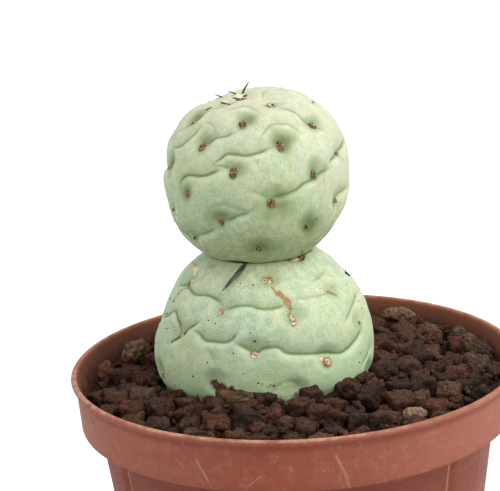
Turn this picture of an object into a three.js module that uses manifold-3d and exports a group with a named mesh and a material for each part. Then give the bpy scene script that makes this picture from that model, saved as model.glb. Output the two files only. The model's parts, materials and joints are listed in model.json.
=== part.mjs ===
// A potted tephrocactus geometricus: two round stem segments, one on the other, in a terracotta-coloured
// nursery pot filled with lava gravel. Millimetres, +Z up. The origin is the middle of the pot's foot.
// An azimuth of 0 faces the front (-Y) and 90 the right (+X); an elevation of 90 points up.
import * as THREE from 'three';
import { ConvexGeometry } from 'three/addons/geometries/ConvexGeometry.js';
import { mergeVertices } from 'three/addons/utils/BufferGeometryUtils.js';
import Module from 'manifold-3d';

const solids = await Module();
solids.setup();

// Driving dimensions
const clearance = 0.35;
const edgeRound = 0.5;

const pot = {
  height: 90,
  rimRadius: 52.5,
  wall: 1.3,
  beadHeight: 1.6,
  beadProud: 1.1,
  bandHeight: 12.2,
  bandLowRadius: 50.7,
  stepRadius: 46.3,
  footRadius: 35.9,
  footWidth: 4.5,
  footRecess: 1.6,
  sectors: 48,
  ribHeight: 0.8,
  ribWidth: 16,
  ribAzimuths: [54, 174, 294],
  drainHoles: 6,
  drainRadius: 4,
  drainCircle: 23,
};

const upper = {
  centre: [-6.8, 8.0, 132.7],
  girth: 21.5,
  rise: 20.2,
  drop: 20.3,
  squareness: 2.25,
  calmBelow: -66,
  calmSpan: 16,
  spiral: { count: 50.1, start: 1.02, phase: 336.5, divergence: 137.62, leanBack: -5.8, leanSide: -2.8 },
};

const lower = {
  centre: [-7.1, 8.0, 91.2],
  girth: 25.9,
  rise: 26.2,
  drop: 22,
  squareness: 2,
  calmBelow: -17,
  calmSpan: 9,
  spiral: { count: 46.5, start: -2.05, phase: 32.9, divergence: 137.8, leanBack: 7.8, leanSide: 1.5 },
};

const gravel = {
  level: 83.6,
  moundHeight: 2.1,
  moundReach: 12,
  tiltRight: 0.02,
  bedSectors: 36,
  bedLift: 0.2,
  bedGap: 0.5,
  places: 190,
  grain: 2.65,
  scatter: 1.6,
  tipping: 60,
  lift: 1.1,
  wallMargin: 1.2,
  stemMargin: 1.5,
  looseMargin: 4.2,
  room: 8,
  lows: [
    { x: -11, y: -20, wide: 7, deep: 3, by: 1.4 },
    { x: 42, y: 5, wide: 5, deep: 4, by: 1.5 },
    { x: 33, y: 16, wide: 6, deep: 4, by: 1.5 },
    { x: -46, y: 2.5, wide: 5, deep: 5, by: 2 },
    { x: -38.5, y: 14.5, wide: 6, deep: 5, by: 2 },
    { x: 26, y: -34, wide: 4, deep: 3, by: 1.5 },
  ],
  seed: 20261,
};

// How a crushed stone is cut: the number of planes, their distances from the middle, and the uncut ball
const crushed = { planes: 11, nearest: 0.72, spread: 0.26, uncut: 1.08, facing: 0.2 };

// Where the areoles that face the front stand, by their number on the spiral: azimuth and elevation
upper.areolesSeen = {
  0: [-24, 74], 3: [23, 59], 5: [-64, 43], 8: [-8, 44], 11: [52, 37], 13: [-37, 29], 16: [18, 28],
  19: [68, 15], 21: [-13, 14], 24: [39, 8], 26: [-46, -1], 29: [9, -5], 31: [-66, -14], 32: [60, -13],
  34: [-23, -17], 37: [33, -24], 39: [-55, -33], 42: [0, -38],
};
lower.areolesSeen = {
  2: [-75, 53], 3: [44, 63], 5: [6, 51], 7: [-68, 45], 8: [53, 37], 10: [-25, 34], 13: [18, 29],
  15: [-52, 18], 16: [65, 17], 18: [-4, 13], 21: [34, 4], 23: [-25, -4],
};

// The furrows that face the front, each from left to right as [azimuth, elevation] points, with its depth
upper.furrows = [
  { depth: 1.0, route: [[-71, 33], [-65, 40], [-60, 48], [-53, 56], [-37, 62], [-24, 72]] },
  { depth: 0.6, route: [[-30, 53], [-20, 58], [-8, 60], [2, 56], [9, 50]] },
  { depth: 1.0, route: [[-37, 29], [-30, 34], [-20, 36], [-11, 39]] },
  { depth: 1.1, route: [[-69, 24], [-58, 27], [-48, 37], [-43, 44], [-35, 43], [-27, 37]] },
  { depth: 0.7, route: [[5, 33], [9, 38], [15, 42], [22, 42], [30, 40], [35, 34]] },
  { depth: 1.3, route: [[-27, 18], [-22, 22], [-18, 25], [-12, 25], [-5, 24], [1, 25], [6, 26], [12, 28]] },
  { depth: 0.9, route: [[-27, 18], [-23, 18], [-17, 17], [-13, 14]] },
  { depth: 1.4, route: [[-53, 2], [-52, 7], [-48, 10], [-43, 11], [-37, 11], [-31, 12], [-26, 14],
    [-20, 16]] },
  { depth: 1.3, route: [[50, 12], [55, 14], [63, 15], [74, 17], [89, 20]] },
  { depth: 1.3, route: [[7, -2], [11, -2], [17, -1], [25, 1], [31, 4], [36, 5], [44, 8], [52, 10]] },
  { depth: 0.6, route: [[-5, 3], [0, 2], [4, 0], [9, -3]] },
  { depth: 1.1, route: [[-23, -16], [-17, -15], [-11, -12], [-7, -11], [-2, -8]] },
  { depth: 1.1, route: [[-56, -35], [-46, -29], [-37, -26], [-26, -20]] },
  { depth: 0.9, route: [[26, 57], [39, 51], [46, 44], [52, 38], [59, 30]] },
  { depth: 0.5, route: [[-28, -7], [-19, -5], [-11, -8]] },
  { depth: 1.1, route: [[55, -19], [60, -12], [66, -9], [78, -7]] },
  { depth: 1.5, route: [[-104, 13], [-95, 10], [-86, 9], [-78, 10], [-70, 12], [-69, 24]] },
  { depth: 0.9, route: [[-72, -30], [-65, -31], [-60, -38]] },
];

// Broad dents in the segments, each by azimuth and elevation, with its radius and depth
upper.dents = [
  { at: [-95, 70], radius: 9, depth: 1.6 },
  { at: [-94, 13], radius: 3.4, depth: 1.2 },
  { at: [-90, -15], radius: 4.5, depth: 1.6 },
  { at: [88, -38], radius: 7, depth: 1.0 },
];
lower.dents = [{ at: [-92, 27], radius: 6.5, depth: 1.0 }];
lower.furrows = [
  { depth: 1.4, route: [[-78, 40], [-68, 44], [-61, 43], [-50, 41], [-39, 42], [-32, 41], [-25, 38]] },
  { depth: 0.9, route: [[-54, 55], [-51, 59], [-44, 62]] },
  { depth: 1.3, route: [[-26, 36], [-20, 37], [-13, 38], [-7, 38], [1, 36], [9, 36], [17, 37]] },
  { depth: 0.5, route: [[19, 39], [26, 39], [37, 38], [46, 38], [58, 40]] },
  { depth: 1.5, route: [[-58, 13], [-53, 17], [-47, 22], [-42, 25], [-37, 28]] },
  { depth: 1.4, route: [[-100, 18], [-90, 19], [-80, 21], [-70, 25], [-62, 29], [-56, 25], [-52, 19]] },
  { depth: 1.4, route: [[-42, 23], [-37, 22], [-32, 19], [-26, 19], [-20, 19], [-16, 21], [-13, 25]] },
  { depth: 1.4, route: [[-15, 20], [-12, 18], [-8, 16], [-4, 14], [1, 16], [8, 16], [12, 13], [22, 11],
    [35, 9], [44, 7], [56, 10], [66, 14]] },
  { depth: 0.9, route: [[50, 21], [56, 23], [67, 27], [80, 30]] },
  { depth: 0.8, route: [[58, -5], [66, -2], [76, 3]] },
  { depth: 0.8, route: [[-94, 52], [-84, 54], [-75, 54], [-64, 50]] },
  { depth: 0.7, route: [[39, 46], [49, 47], [61, 49]] },
  { depth: 0.5, route: [[2, -8], [9, -2], [14, -2], [19, -6]] },
];

// Stones of another colour that lie on the gravel: middle, half sizes, turn about Z and seed of the shape
const looseStones = {
  stone_pale_tan: { at: [26.8, 37.2, 87.5], half: [5.4, 2.7, 2.4], turn: -14, seed: 11 },
  stone_block: { at: [33.2, 22.0, 86.4], half: [4.6, 3.6, 3.7], turn: 20, seed: 12 },
  stone_grey: { at: [40.6, 21.4, 86.0], half: [2.9, 2.7, 3.0], turn: 75, seed: 13 },
  stone_tall: { at: [42.0, 11.0, 87.0], half: [2.7, 2.5, 4.3], turn: 40, seed: 14 },
  stone_grey_brown: { at: [-39.4, 21.4, 86.2], half: [4.8, 3.3, 3.8], turn: 28, seed: 15 },
  stone_red_porous: { at: [-45.6, 8.8, 85.4], half: [2.4, 3.3, 4.2], turn: -12, seed: 16 },
  stone_ochre: { at: [-44.0, -0.8, 83.4], half: [2.4, 2.3, 1.8], turn: 15, seed: 17 },
  stone_dark: { at: [12.2, -17.0, 87.7], half: [4.0, 3.1, 3.0], turn: -18, seed: 18 },
  stone_light_tan: { at: [25.7, -28.6, 85.4], half: [3.3, 2.3, 2.3], turn: 10, seed: 19 },
};

// The dark spines: where each one roots, by azimuth and elevation, and how far its tip lies from that root
const upperSpines = [
  { root: [-76, 83], tip: [1.8, -0.3, 2.8], width: 0.8 },
  { root: [-75, 79.5], tip: [-2.0, -0.1, 0.7], width: 0.7 },
  { root: [-112, 68], tip: [-1.9, -0.2, 0.7], width: 0.6 },
  { root: [-16, 68.5], tip: [-2.5, 0.9, 0.45], width: 0.8 },
  { root: [-33, 64.5], tip: [-2.7, 2.0, 0.3], width: 0.75 },
  { root: [-60, 58.5], tip: [-1.6, -0.5, -0.6], width: 0.7 },
  { root: [-39, 81], tip: [1.0, -0.2, 0.3], width: 0.7 },
];
const lowerSpine = { root: [-15.5, 61.5], tip: [-5.6, -6.0, -4.2], width: 1.7, sunk: 0.3, bow: 0.7 };

const crown = {
  knob: [-13.2, -14.6, 87.0],
  knobHalf: [5.6, 4.6, 2.7],
  rootRoute: [[-13.2, -14.4, 86], [-15.2, -16.4, 78], [-12.5, -10, 66], [-8.5, 0, 57], [-7, 6, 42],
    [-6, 8, 26]],
  rootThick: 3.0,
  rootThin: 0.9,
  rootSides: 7,
  rootSteps: 9,
  turn: -16,
  seed: 77,
};

const degree = Math.PI / 180;
const touching = 0.01;
const goldenAngle = 180 * (3 - Math.sqrt(5));

// A repeatable draw of numbers between 0 and 1
function draws(seed) {
  let state = seed;
  return () => {
    state = (state + 0x6D2B79F5) | 0;
    let mixed = Math.imul(state ^ (state >>> 15), 1 | state);
    mixed = (mixed + Math.imul(mixed ^ (mixed >>> 7), 61 | mixed)) ^ mixed;
    return ((mixed ^ (mixed >>> 14)) >>> 0) / 4294967296;
  };
}

function direction(azimuth, elevation) {
  const flat = Math.cos(elevation * degree);
  const side = flat * Math.sin(azimuth * degree);
  const back = -flat * Math.cos(azimuth * degree);
  return new THREE.Vector3(side, back, Math.sin(elevation * degree));
}

function smoothStep(from, to, value) {
  return THREE.MathUtils.smoothstep(value, from, to);
}

// Closed meshes as solids, and back
function toSolid(geometry) {
  const bare = geometry.clone();
  bare.deleteAttribute('normal');
  bare.deleteAttribute('uv');
  const merged = mergeVertices(bare, 1e-4);
  const vertProperties = new Float32Array(merged.attributes.position.array);
  const triVerts = new Uint32Array(merged.index.array);
  return new solids.Manifold(new solids.Mesh({ numProp: 3, vertProperties, triVerts }));
}

function toGeometry(solid) {
  const mesh = solid.getMesh();
  const geometry = new THREE.BufferGeometry();
  geometry.setAttribute('position', new THREE.BufferAttribute(mesh.vertProperties, 3));
  geometry.setIndex(new THREE.BufferAttribute(mesh.triVerts, 1));
  return geometry;
}

function largestBody(solid) {
  const bodies = solid.decompose();
  bodies.sort((a, b) => b.volume() - a.volume());
  return bodies[0];
}

function fuse(list) {
  let row = list;
  while (row.length > 1) {
    const next = [];
    for (let index = 0; index < row.length; index += 2) {
      const pair = index + 1 < row.length ? row[index].add(row[index + 1]) : row[index];
      next.push(pair);
    }
    row = next;
  }
  return row[0];
}

// A body turned about the Z axis from [radius, height] points
function turned(profile, sectors) {
  const points = profile.map(([radius, height]) => new THREE.Vector2(radius, height));
  return new THREE.LatheGeometry(points, sectors).rotateX(Math.PI / 2);
}

// A tapering rod along a list of points, closed by a point at each end
function taperedRod(points, thick, thin, sides, steps, flatness) {
  const curve = new THREE.CatmullRomCurve3(points.map((point) => new THREE.Vector3(...point)));
  const frames = curve.computeFrenetFrames(steps, false);
  const vertices = [];
  const faces = [];
  for (let step = 0; step <= steps; step += 1) {
    const share = step / steps;
    const radius = THREE.MathUtils.lerp(thick, thin, share);
    const middle = curve.getPointAt(share);
    for (let side = 0; side < sides; side += 1) {
      const angle = (2 * Math.PI * side) / sides;
      const across = frames.binormals[step].clone().multiplyScalar(radius * Math.cos(angle));
      const through = frames.normals[step].clone().multiplyScalar(radius * flatness * Math.sin(angle));
      vertices.push(middle.clone().add(across).add(through));
    }
  }
  for (let step = 0; step < steps; step += 1) {
    for (let side = 0; side < sides; side += 1) {
      const next = (side + 1) % sides;
      const a = step * sides + side;
      const b = step * sides + next;
      faces.push(a, b, a + sides, b, b + sides, a + sides);
    }
  }
  const root = vertices.push(curve.getPointAt(0)) - 1;
  const tip = vertices.push(curve.getPointAt(1)) - 1;
  for (let side = 0; side < sides; side += 1) {
    const next = (side + 1) % sides;
    faces.push(root, next, side);
    faces.push(tip, steps * sides + side, steps * sides + next);
  }
  const geometry = new THREE.BufferGeometry().setFromPoints(vertices);
  geometry.setIndex(faces);
  const solid = toSolid(geometry);
  if (solid.volume() > 0) return solid;
  geometry.setIndex(faces.reverse());
  return toSolid(geometry);
}

// The pot's wall, in radii and heights
const wallTop = pot.height - pot.bandHeight;
const taper = (pot.stepRadius - pot.footRadius) / wallTop;
const floorTop = pot.footRecess + pot.wall;

function wallRadius(height) {
  return pot.footRadius + taper * height;
}

function potOutside() {
  const beadUnder = pot.height - pot.beadHeight;
  const bandTop = pot.rimRadius - pot.beadProud;
  return [
    [0, pot.footRecess],
    [pot.footRadius - pot.footWidth, pot.footRecess],
    [pot.footRadius - pot.footWidth + edgeRound, 0],
    [wallRadius(0) - edgeRound, 0],
    [wallRadius(edgeRound), edgeRound],
    [wallRadius(wallTop - edgeRound), wallTop - edgeRound],
    [pot.bandLowRadius - edgeRound, wallTop],
    [pot.bandLowRadius, wallTop + edgeRound],
    [bandTop, beadUnder - edgeRound],
    [pot.rimRadius, beadUnder + edgeRound / 2],
    [pot.rimRadius, pot.height - edgeRound],
    [pot.rimRadius - edgeRound, pot.height],
  ];
}

function potInside(gap) {
  const bandInner = pot.rimRadius - pot.beadProud - pot.wall - gap;
  const ledge = pot.bandLowRadius - pot.wall - gap;
  const throat = wallRadius(wallTop) - pot.wall - gap;
  const shelf = wallTop + pot.wall + gap;
  return [
    [bandInner + edgeRound, pot.height - edgeRound],
    [bandInner, pot.height - pot.beadHeight],
    [ledge, shelf + edgeRound],
    [ledge - edgeRound, shelf],
    [throat, shelf - 2 * edgeRound],
    [wallRadius(floorTop) - pot.wall - gap, floorTop + gap],
    [0, floorTop + gap],
  ];
}

// The three broad ribs stand proud of the lower wall, which is recessed between them
function onRib(azimuth) {
  return pot.ribAzimuths.some((middle) => {
    const offset = ((azimuth - middle + 540) % 360) - 180;
    return Math.abs(offset) <= pot.ribWidth / 2;
  });
}

function buildPot() {
  const rimInner = [pot.rimRadius - pot.wall - edgeRound, pot.height];
  const geometry = turned([...potOutside(), rimInner, ...potInside(0)], pot.sectors);
  const position = geometry.attributes.position;
  for (let index = 0; index < position.count; index += 1) {
    const x = position.getX(index);
    const y = position.getY(index);
    const z = position.getZ(index);
    const radius = Math.hypot(x, y);
    const azimuth = Math.atan2(x, -y) / degree;
    const onWall = z > 0 && z < wallTop && Math.abs(radius - wallRadius(z)) < touching;
    if (onWall && onRib(azimuth)) {
      const grown = (radius + pot.ribHeight) / radius;
      position.setXY(index, x * grown, y * grown);
    }
  }
  let solid = toSolid(geometry);
  for (let hole = 0; hole < pot.drainHoles; hole += 1) {
    const angle = (360 / pot.drainHoles) * (hole + 0.5) * degree;
    const drill = new THREE.CylinderGeometry(pot.drainRadius, pot.drainRadius, 4 * pot.wall, 12);
    drill.rotateX(Math.PI / 2);
    drill.translate(pot.drainCircle * Math.sin(angle), pot.drainCircle * Math.cos(angle), pot.footRecess);
    solid = solid.subtract(toSolid(drill));
  }
  return solid;
}

// The plain ball that a stem segment is raised from
function ballRadius(ball, way) {
  const flat = Math.hypot(way.x, way.y) / ball.girth;
  const half = way.z > 0 ? ball.rise : ball.drop;
  const up = Math.abs(way.z) / half;
  return (flat ** ball.squareness + up ** ball.squareness) ** (-1 / ball.squareness);
}

// Areoles stand on a spiral of nearly the golden angle, evenly over the ball
function areolesOf(ball) {
  const { count, start, phase, divergence, leanBack, leanSide } = ball.spiral;
  const lean = new THREE.Euler(leanBack * degree, leanSide * degree, 0, 'YXZ');
  const list = [];
  for (let number = 0; number + start < count; number += 1) {
    const share = (number + start) / count;
    if (share > 0) {
      const elevation = Math.asin(1 - 2 * share) / degree;
      const seen = ball.areolesSeen[number];
      const way = direction(phase + number * divergence, elevation).applyEuler(lean);
      list.push({ number, way: seen ? direction(...seen) : way });
    }
  }
  return list;
}

// Away from the front, a furrow runs from each areole to its neighbour five places up the spiral
const hidden = { neighbour: 5, behind: 0.12, farthest: 35, wave: 0.055, shallow: 0.8, deeper: 0.6 };

function hiddenFurrows(ball, areoles) {
  const draw = draws(ball.spiral.count * 10);
  const lowest = Math.sin(ball.calmBelow * degree);
  const list = [];
  for (const areole of areoles) {
    const higher = areoles.find((other) => other.number === areole.number - hidden.neighbour);
    const wave = hidden.wave * (0.5 + draw());
    const depth = hidden.shallow + hidden.deeper * draw();
    if (higher) {
      const middle = areole.way.clone().add(higher.way).normalize();
      const close = middle.angleTo(areole.way) < hidden.farthest * degree;
      if (close && middle.y > hidden.behind && middle.z > lowest) {
        const near = areole.way.clone().lerp(higher.way, 0.3);
        const far = areole.way.clone().lerp(higher.way, 0.7);
        near.z += wave;
        far.z -= wave / 2;
        list.push({ depth, ways: [areole.way, near, far, higher.way] });
      }
    }
  }
  return list;
}

// Each furrow as close-set marks that know which way is up out of it and how deep it is there
const markSpacing = 0.5;
const taperLength = 2.6;
const endDepth = 0.25;

function marksOf(ball, furrow) {
  const ways = furrow.ways ?? furrow.route.map((point) => direction(...point));
  const curve = new THREE.CatmullRomCurve3(ways.map((way) => way.clone().normalize()), false, 'centripetal');
  const length = curve.getLength() * ball.girth;
  const steps = Math.max(4, Math.round(length / markSpacing));
  const marks = [];
  for (let step = 0; step <= steps; step += 1) {
    const way = curve.getPointAt(step / steps).normalize();
    const along = curve.getTangentAt(step / steps);
    const up = way.clone().cross(along).normalize();
    const toEnd = Math.min(step, steps - step) * (length / steps);
    const depth = furrow.depth * (endDepth + (1 - endDepth) * smoothStep(0, taperLength, toEnd));
    marks.push({ way, up, depth });
  }
  return marks;
}

// How the skin dips at a furrow: a long swell above it and a short steep lip below it
const swellAbove = 2.3;
const steepBelow = 0.75;

function furrowDip(ball, marks, way) {
  let nearest = marks[0];
  let least = Infinity;
  for (const mark of marks) {
    const gap = mark.way.distanceToSquared(way);
    if (gap < least) {
      least = gap;
      nearest = mark;
    }
  }
  const distance = Math.sqrt(least) * ball.girth;
  const above = way.clone().sub(nearest.way).dot(nearest.up) > 0;
  const reach = above ? swellAbove : steepBelow;
  return -nearest.depth * Math.exp(-distance / reach);
}

// Each areole sits low in a dimple that is steepest under its upper edge
const dimple = { halfWide: 4.0, halfTall: 3.8, above: 1.2, depth: 0.95, padHeight: 0.35, padRadius: 0.9 };

function areoleDip(ball, areole, way) {
  const east = new THREE.Vector3(-areole.way.y, areole.way.x, 0).normalize();
  const north = areole.way.clone().cross(east);
  const offset = way.clone().sub(areole.way);
  const across = (offset.dot(east) * ball.girth) / dimple.halfWide;
  const up = (offset.dot(north) * ball.girth - dimple.above) / dimple.halfTall;
  const spread = Math.min(1, across * across + up * up);
  const distance = offset.length() * ball.girth;
  const pad = dimple.padHeight * Math.exp(-((distance / dimple.padRadius) ** 2));
  return distance < 3 * dimple.halfWide ? pad - dimple.depth * (1 - spread) ** 2 : 0;
}

// The whole skin of one segment, as a radius for each direction from its middle
const swelling = 0.35;

function dentDip(ball, { at, radius, depth }, way) {
  const reach = direction(...at).distanceTo(way) * ball.girth;
  return -depth * Math.exp(-((reach / radius) ** 2));
}

function skinOf(ball) {
  const areoles = areolesOf(ball);
  const furrows = [...ball.furrows, ...hiddenFurrows(ball, areoles)];
  const markLists = furrows.map((furrow) => marksOf(ball, furrow));
  const radiusAt = (way) => {
    const plain = ballRadius(ball, way);
    const elevation = Math.asin(way.z) / degree;
    const calm = smoothStep(ball.calmBelow, ball.calmBelow + ball.calmSpan, elevation);
    let deepest = 0;
    for (const marks of markLists) deepest = Math.min(deepest, furrowDip(ball, marks, way));
    let dimples = 0;
    for (const areole of areoles) dimples += areoleDip(ball, areole, way);
    for (const dent of ball.dents) dimples += dentDip(ball, dent, way);
    return plain + calm * (swelling + deepest + dimples);
  };
  return { areoles, markLists, radiusAt };
}

// The lower segment's top is a shallow seat that follows the upper segment's underside
const seat = { gap: 0.35, openGap: 1.0, openFrom: 4, openTo: 11, round: 1.4, above: 33 };

function seatRadius(way) {
  const start = new THREE.Vector3(...lower.centre);
  const middle = new THREE.Vector3(...upper.centre);
  let inside = start.distanceTo(middle);
  let outside = 0;
  for (let pass = 0; pass < 24; pass += 1) {
    const reach = (inside + outside) / 2;
    const point = start.clone().addScaledVector(way, reach);
    const offset = point.sub(middle);
    const wide = Math.hypot(offset.x, offset.y);
    const gap = seat.gap + (seat.openGap - seat.gap) * smoothStep(seat.openFrom, seat.openTo, wide);
    const limit = ballRadius(upper, offset.clone().normalize()) + gap;
    if (offset.length() > limit) outside = reach;
    else inside = reach;
  }
  return inside;
}

function softMinimum(a, b, round) {
  const blend = Math.max(round - Math.abs(a - b), 0) / round;
  return Math.min(a, b) - (blend * blend * round) / 4;
}

function underSeat(way, radius) {
  if (way.z < Math.sin(seat.above * degree)) return radius;
  return softMinimum(radius, seatRadius(way), seat.round);
}

// A net of directions over the ball: along the furrows and their lips, round the areoles, and even between
const net = { along: 2.3, above: 1.5, below: 0.8, areoleRing: 1.0, ringPoints: 5, closest: 0.72, apart: 1.45,
  apartBelow: 3.2, fillers: 1500 };

function netOf(ball, skin, fillers) {
  const points = [];
  const tryPoint = (way, spacing) => {
    const limit = (spacing / ball.girth) ** 2;
    if (points.some((point) => point.distanceToSquared(way) < limit)) return;
    points.push(way);
  };
  for (const areole of skin.areoles) {
    const east = new THREE.Vector3(-areole.way.y, areole.way.x, 0).normalize();
    const north = areole.way.clone().cross(east);
    tryPoint(areole.way.clone(), net.closest);
    for (let step = 0; step < net.ringPoints; step += 1) {
      const angle = (2 * Math.PI * step) / net.ringPoints;
      const way = areole.way.clone();
      way.addScaledVector(east, (net.areoleRing * Math.cos(angle)) / ball.girth);
      way.addScaledVector(north, (net.areoleRing * Math.sin(angle)) / ball.girth);
      tryPoint(way.normalize(), net.closest);
    }
  }
  const stride = Math.round(net.along / markSpacing);
  for (const offset of [0, -net.below, net.above]) {
    for (const marks of skin.markLists) {
      for (let index = 0; index < marks.length; index += stride) {
        const mark = marks[index];
        const way = mark.way.clone().addScaledVector(mark.up, offset / ball.girth);
        tryPoint(way.normalize(), net.closest);
      }
    }
  }
  for (let index = 0; index < fillers; index += 1) {
    const elevation = Math.asin(1 - (2 * (index + 0.5)) / fillers) / degree;
    const spacing = elevation > ball.calmBelow ? net.apart : net.apartBelow;
    tryPoint(direction(index * goldenAngle, elevation), spacing);
  }
  return points;
}

function raise(ball, ways, radiusAt) {
  const hull = mergeVertices(new ConvexGeometry(ways).deleteAttribute('normal'), 1e-6);
  const position = hull.attributes.position;
  const way = new THREE.Vector3();
  for (let index = 0; index < position.count; index += 1) {
    way.fromBufferAttribute(position, index).normalize();
    const radius = radiusAt(way);
    const [x, y, z] = ball.centre;
    position.setXYZ(index, x + way.x * radius, y + way.y * radius, z + way.z * radius);
  }
  return toSolid(hull);
}

// A spine is rooted well in its areole and bows a little outwards
const spineForm = { sunk: 1.2, bow: 0.3, tipRadius: 0.1, steps: 3 };

function spineOn(ball, radiusAt, spine, sides, flatness) {
  const { sunk, bow } = { ...spineForm, ...spine };
  const way = direction(...spine.root);
  const middle = new THREE.Vector3(...ball.centre);
  const foot = middle.clone().addScaledVector(way, radiusAt(way) - sunk);
  const tip = middle.clone().addScaledVector(way, radiusAt(way)).add(new THREE.Vector3(...spine.tip));
  const halfway = foot.clone().lerp(tip, 0.5).addScaledVector(way, bow);
  const route = [foot, halfway, tip].map((point) => point.toArray());
  return taperedRod(route, spine.width / 2, spineForm.tipRadius, sides, spineForm.steps, flatness);
}

const upperSkin = skinOf(upper);
const lowerSkin = skinOf(lower);

function buildUpper() {
  const body = raise(upper, netOf(upper, upperSkin, net.fillers), upperSkin.radiusAt);
  const spines = upperSpines.map((spine) => spineOn(upper, upperSkin.radiusAt, spine, 5, 0.7));
  return largestBody(fuse([body, ...spines]));
}

function buildLower(crownGrown) {
  const radiusAt = (way) => underSeat(way, lowerSkin.radiusAt(way));
  const body = raise(lower, netOf(lower, lowerSkin, net.fillers), radiusAt);
  const spine = spineOn(lower, radiusAt, lowerSpine, 6, 0.4);
  return largestBody(body.add(spine).subtract(crownGrown));
}

// A crushed stone: a ball cut by a few planes drawn at random
function stoneShape(seed, detail, half, growth) {
  const draw = draws(seed);
  const planes = [];
  for (let index = 0; index < crushed.planes; index += 1) {
    const up = 2 * draw() - 1;
    const angle = 2 * Math.PI * draw();
    const flat = Math.sqrt(1 - up * up);
    const normal = new THREE.Vector3(flat * Math.cos(angle), flat * Math.sin(angle), up);
    planes.push({ normal, distance: crushed.nearest + crushed.spread * draw() });
  }
  const geometry = mergeVertices(new THREE.IcosahedronGeometry(1, detail).deleteAttribute('normal')
    .deleteAttribute('uv'), 1e-4);
  const position = geometry.attributes.position;
  const way = new THREE.Vector3();
  for (let index = 0; index < position.count; index += 1) {
    way.fromBufferAttribute(position, index).normalize();
    let radius = crushed.uncut;
    for (const { normal, distance } of planes) {
      const facing = way.dot(normal);
      if (facing > crushed.facing) radius = Math.min(radius, distance / facing);
    }
    const [halfX, halfY, halfZ] = half.map((size) => radius * (size + growth));
    position.setXYZ(index, way.x * halfX, way.y * halfY, way.z * halfZ);
  }
  return geometry;
}

function looseStone({ at, half, turn, seed }, growth) {
  return toSolid(stoneShape(seed, 1, half, growth).rotateZ(turn * degree).translate(...at));
}

// A small grain: a block with its corners drawn in unevenly
function grainShape(half, draw) {
  const geometry = mergeVertices(new THREE.BoxGeometry(2, 2, 2).deleteAttribute('normal')
    .deleteAttribute('uv'), 1e-4);
  const position = geometry.attributes.position;
  for (let index = 0; index < position.count; index += 1) {
    const x = position.getX(index) * half[0] * (0.5 + 0.5 * draw());
    const y = position.getY(index) * half[1] * (0.5 + 0.5 * draw());
    const z = position.getZ(index) * half[2] * (0.6 + 0.4 * draw());
    position.setXYZ(index, x, y, z);
  }
  return geometry;
}

// How high the gravel lies: a low mound against the plant, and a little higher on the right
function gravelHeight(x, y) {
  const fromStem = Math.max(0, Math.hypot(x - lower.centre[0], y - lower.centre[1]) - lower.girth);
  return gravel.level + gravel.tiltRight * x + gravel.moundHeight * Math.exp(-fromStem / gravel.moundReach);
}

// The grains of the covering layer, on a golden-angle spiral, each with its own size, turn and shape
function grainShapes() {
  const draw = draws(gravel.seed);
  const inner = pot.bandLowRadius - pot.wall;
  const loosePlaces = Object.values(looseStones).map((stone) => stone.at);
  const list = [];
  for (let index = 0; index < gravel.places; index += 1) {
    const reach = (inner - gravel.wallMargin) * Math.sqrt((index + 0.5) / gravel.places);
    const angle = index * goldenAngle * degree;
    const x = reach * Math.cos(angle) + gravel.scatter * (draw() - 0.5);
    const y = reach * Math.sin(angle) + gravel.scatter * (draw() - 0.5);
    const size = gravel.grain * (0.8 + 0.5 * draw());
    const half = [size * (1 + 0.25 * draw()), size, size * (0.8 + 0.25 * draw())];
    const turn = 360 * draw();
    const tip = gravel.tipping * (draw() - 0.5);
    const lift = gravel.lift * (draw() - 0.5);
    const shape = grainShape(half, draw).rotateX(tip * degree).rotateZ(turn * degree);
    const low = gravel.lows.find((place) => Math.hypot((x - place.x) / place.wide, (y - place.y) / place.deep) < 1);
    const at = [x, y, gravelHeight(x, y) + lift - (low ? low.by : 0)];
    const fromStem = Math.hypot(x - lower.centre[0], y - lower.centre[1]);
    const fromStones = loosePlaces.map((place) => Math.hypot(x - place[0], y - place[1]));
    const clear = fromStem > lower.girth - gravel.stemMargin && Math.min(...fromStones) > gravel.looseMargin;
    if (clear) list.push(shape.translate(...at));
  }
  return list;
}

function buildGravel(hollows) {
  const belowLevel = potInside(gravel.bedGap).slice(2);
  const edge = belowLevel[0][0];
  const rings = [0, 0.25, 0.5, 0.7, 0.85, 1].map((share) => [edge * share, gravel.level]);
  const bed = turned([...rings, ...belowLevel].reverse(), gravel.bedSectors);
  const position = bed.attributes.position;
  for (let index = 0; index < position.count; index += 1) {
    if (Math.abs(position.getZ(index) - gravel.level) < touching) {
      position.setZ(index, gravelHeight(position.getX(index), position.getY(index)) + gravel.bedLift);
    }
  }
  const insideRoom = potInside(clearance);
  const open = [[0, pot.height + gravel.room], [insideRoom[0][0], pot.height + gravel.room]];
  const room = turned([...open, ...insideRoom].reverse(), pot.sectors);
  const grains = fuse(grainShapes().map(toSolid)).intersect(toSolid(room));
  let solid = grains.add(toSolid(bed));
  for (const hollow of hollows) solid = solid.subtract(hollow);
  return largestBody(solid);
}

// The plain hole that the lower segment stands in
const stemRoom = { below: 0.6, above: 0.7 };

function stemHole() {
  const ball = new THREE.SphereGeometry(1, 24, 12).rotateX(Math.PI / 2);
  const position = ball.attributes.position;
  const way = new THREE.Vector3();
  for (let index = 0; index < position.count; index += 1) {
    way.fromBufferAttribute(position, index).normalize();
    const calm = smoothStep(lower.calmBelow, lower.calmBelow + lower.calmSpan, Math.asin(way.z) / degree);
    way.multiplyScalar(ballRadius(lower, way) + stemRoom.below + stemRoom.above * calm);
    position.setXYZ(index, way.x, way.y, way.z);
  }
  return toSolid(ball.translate(...lower.centre));
}

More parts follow.
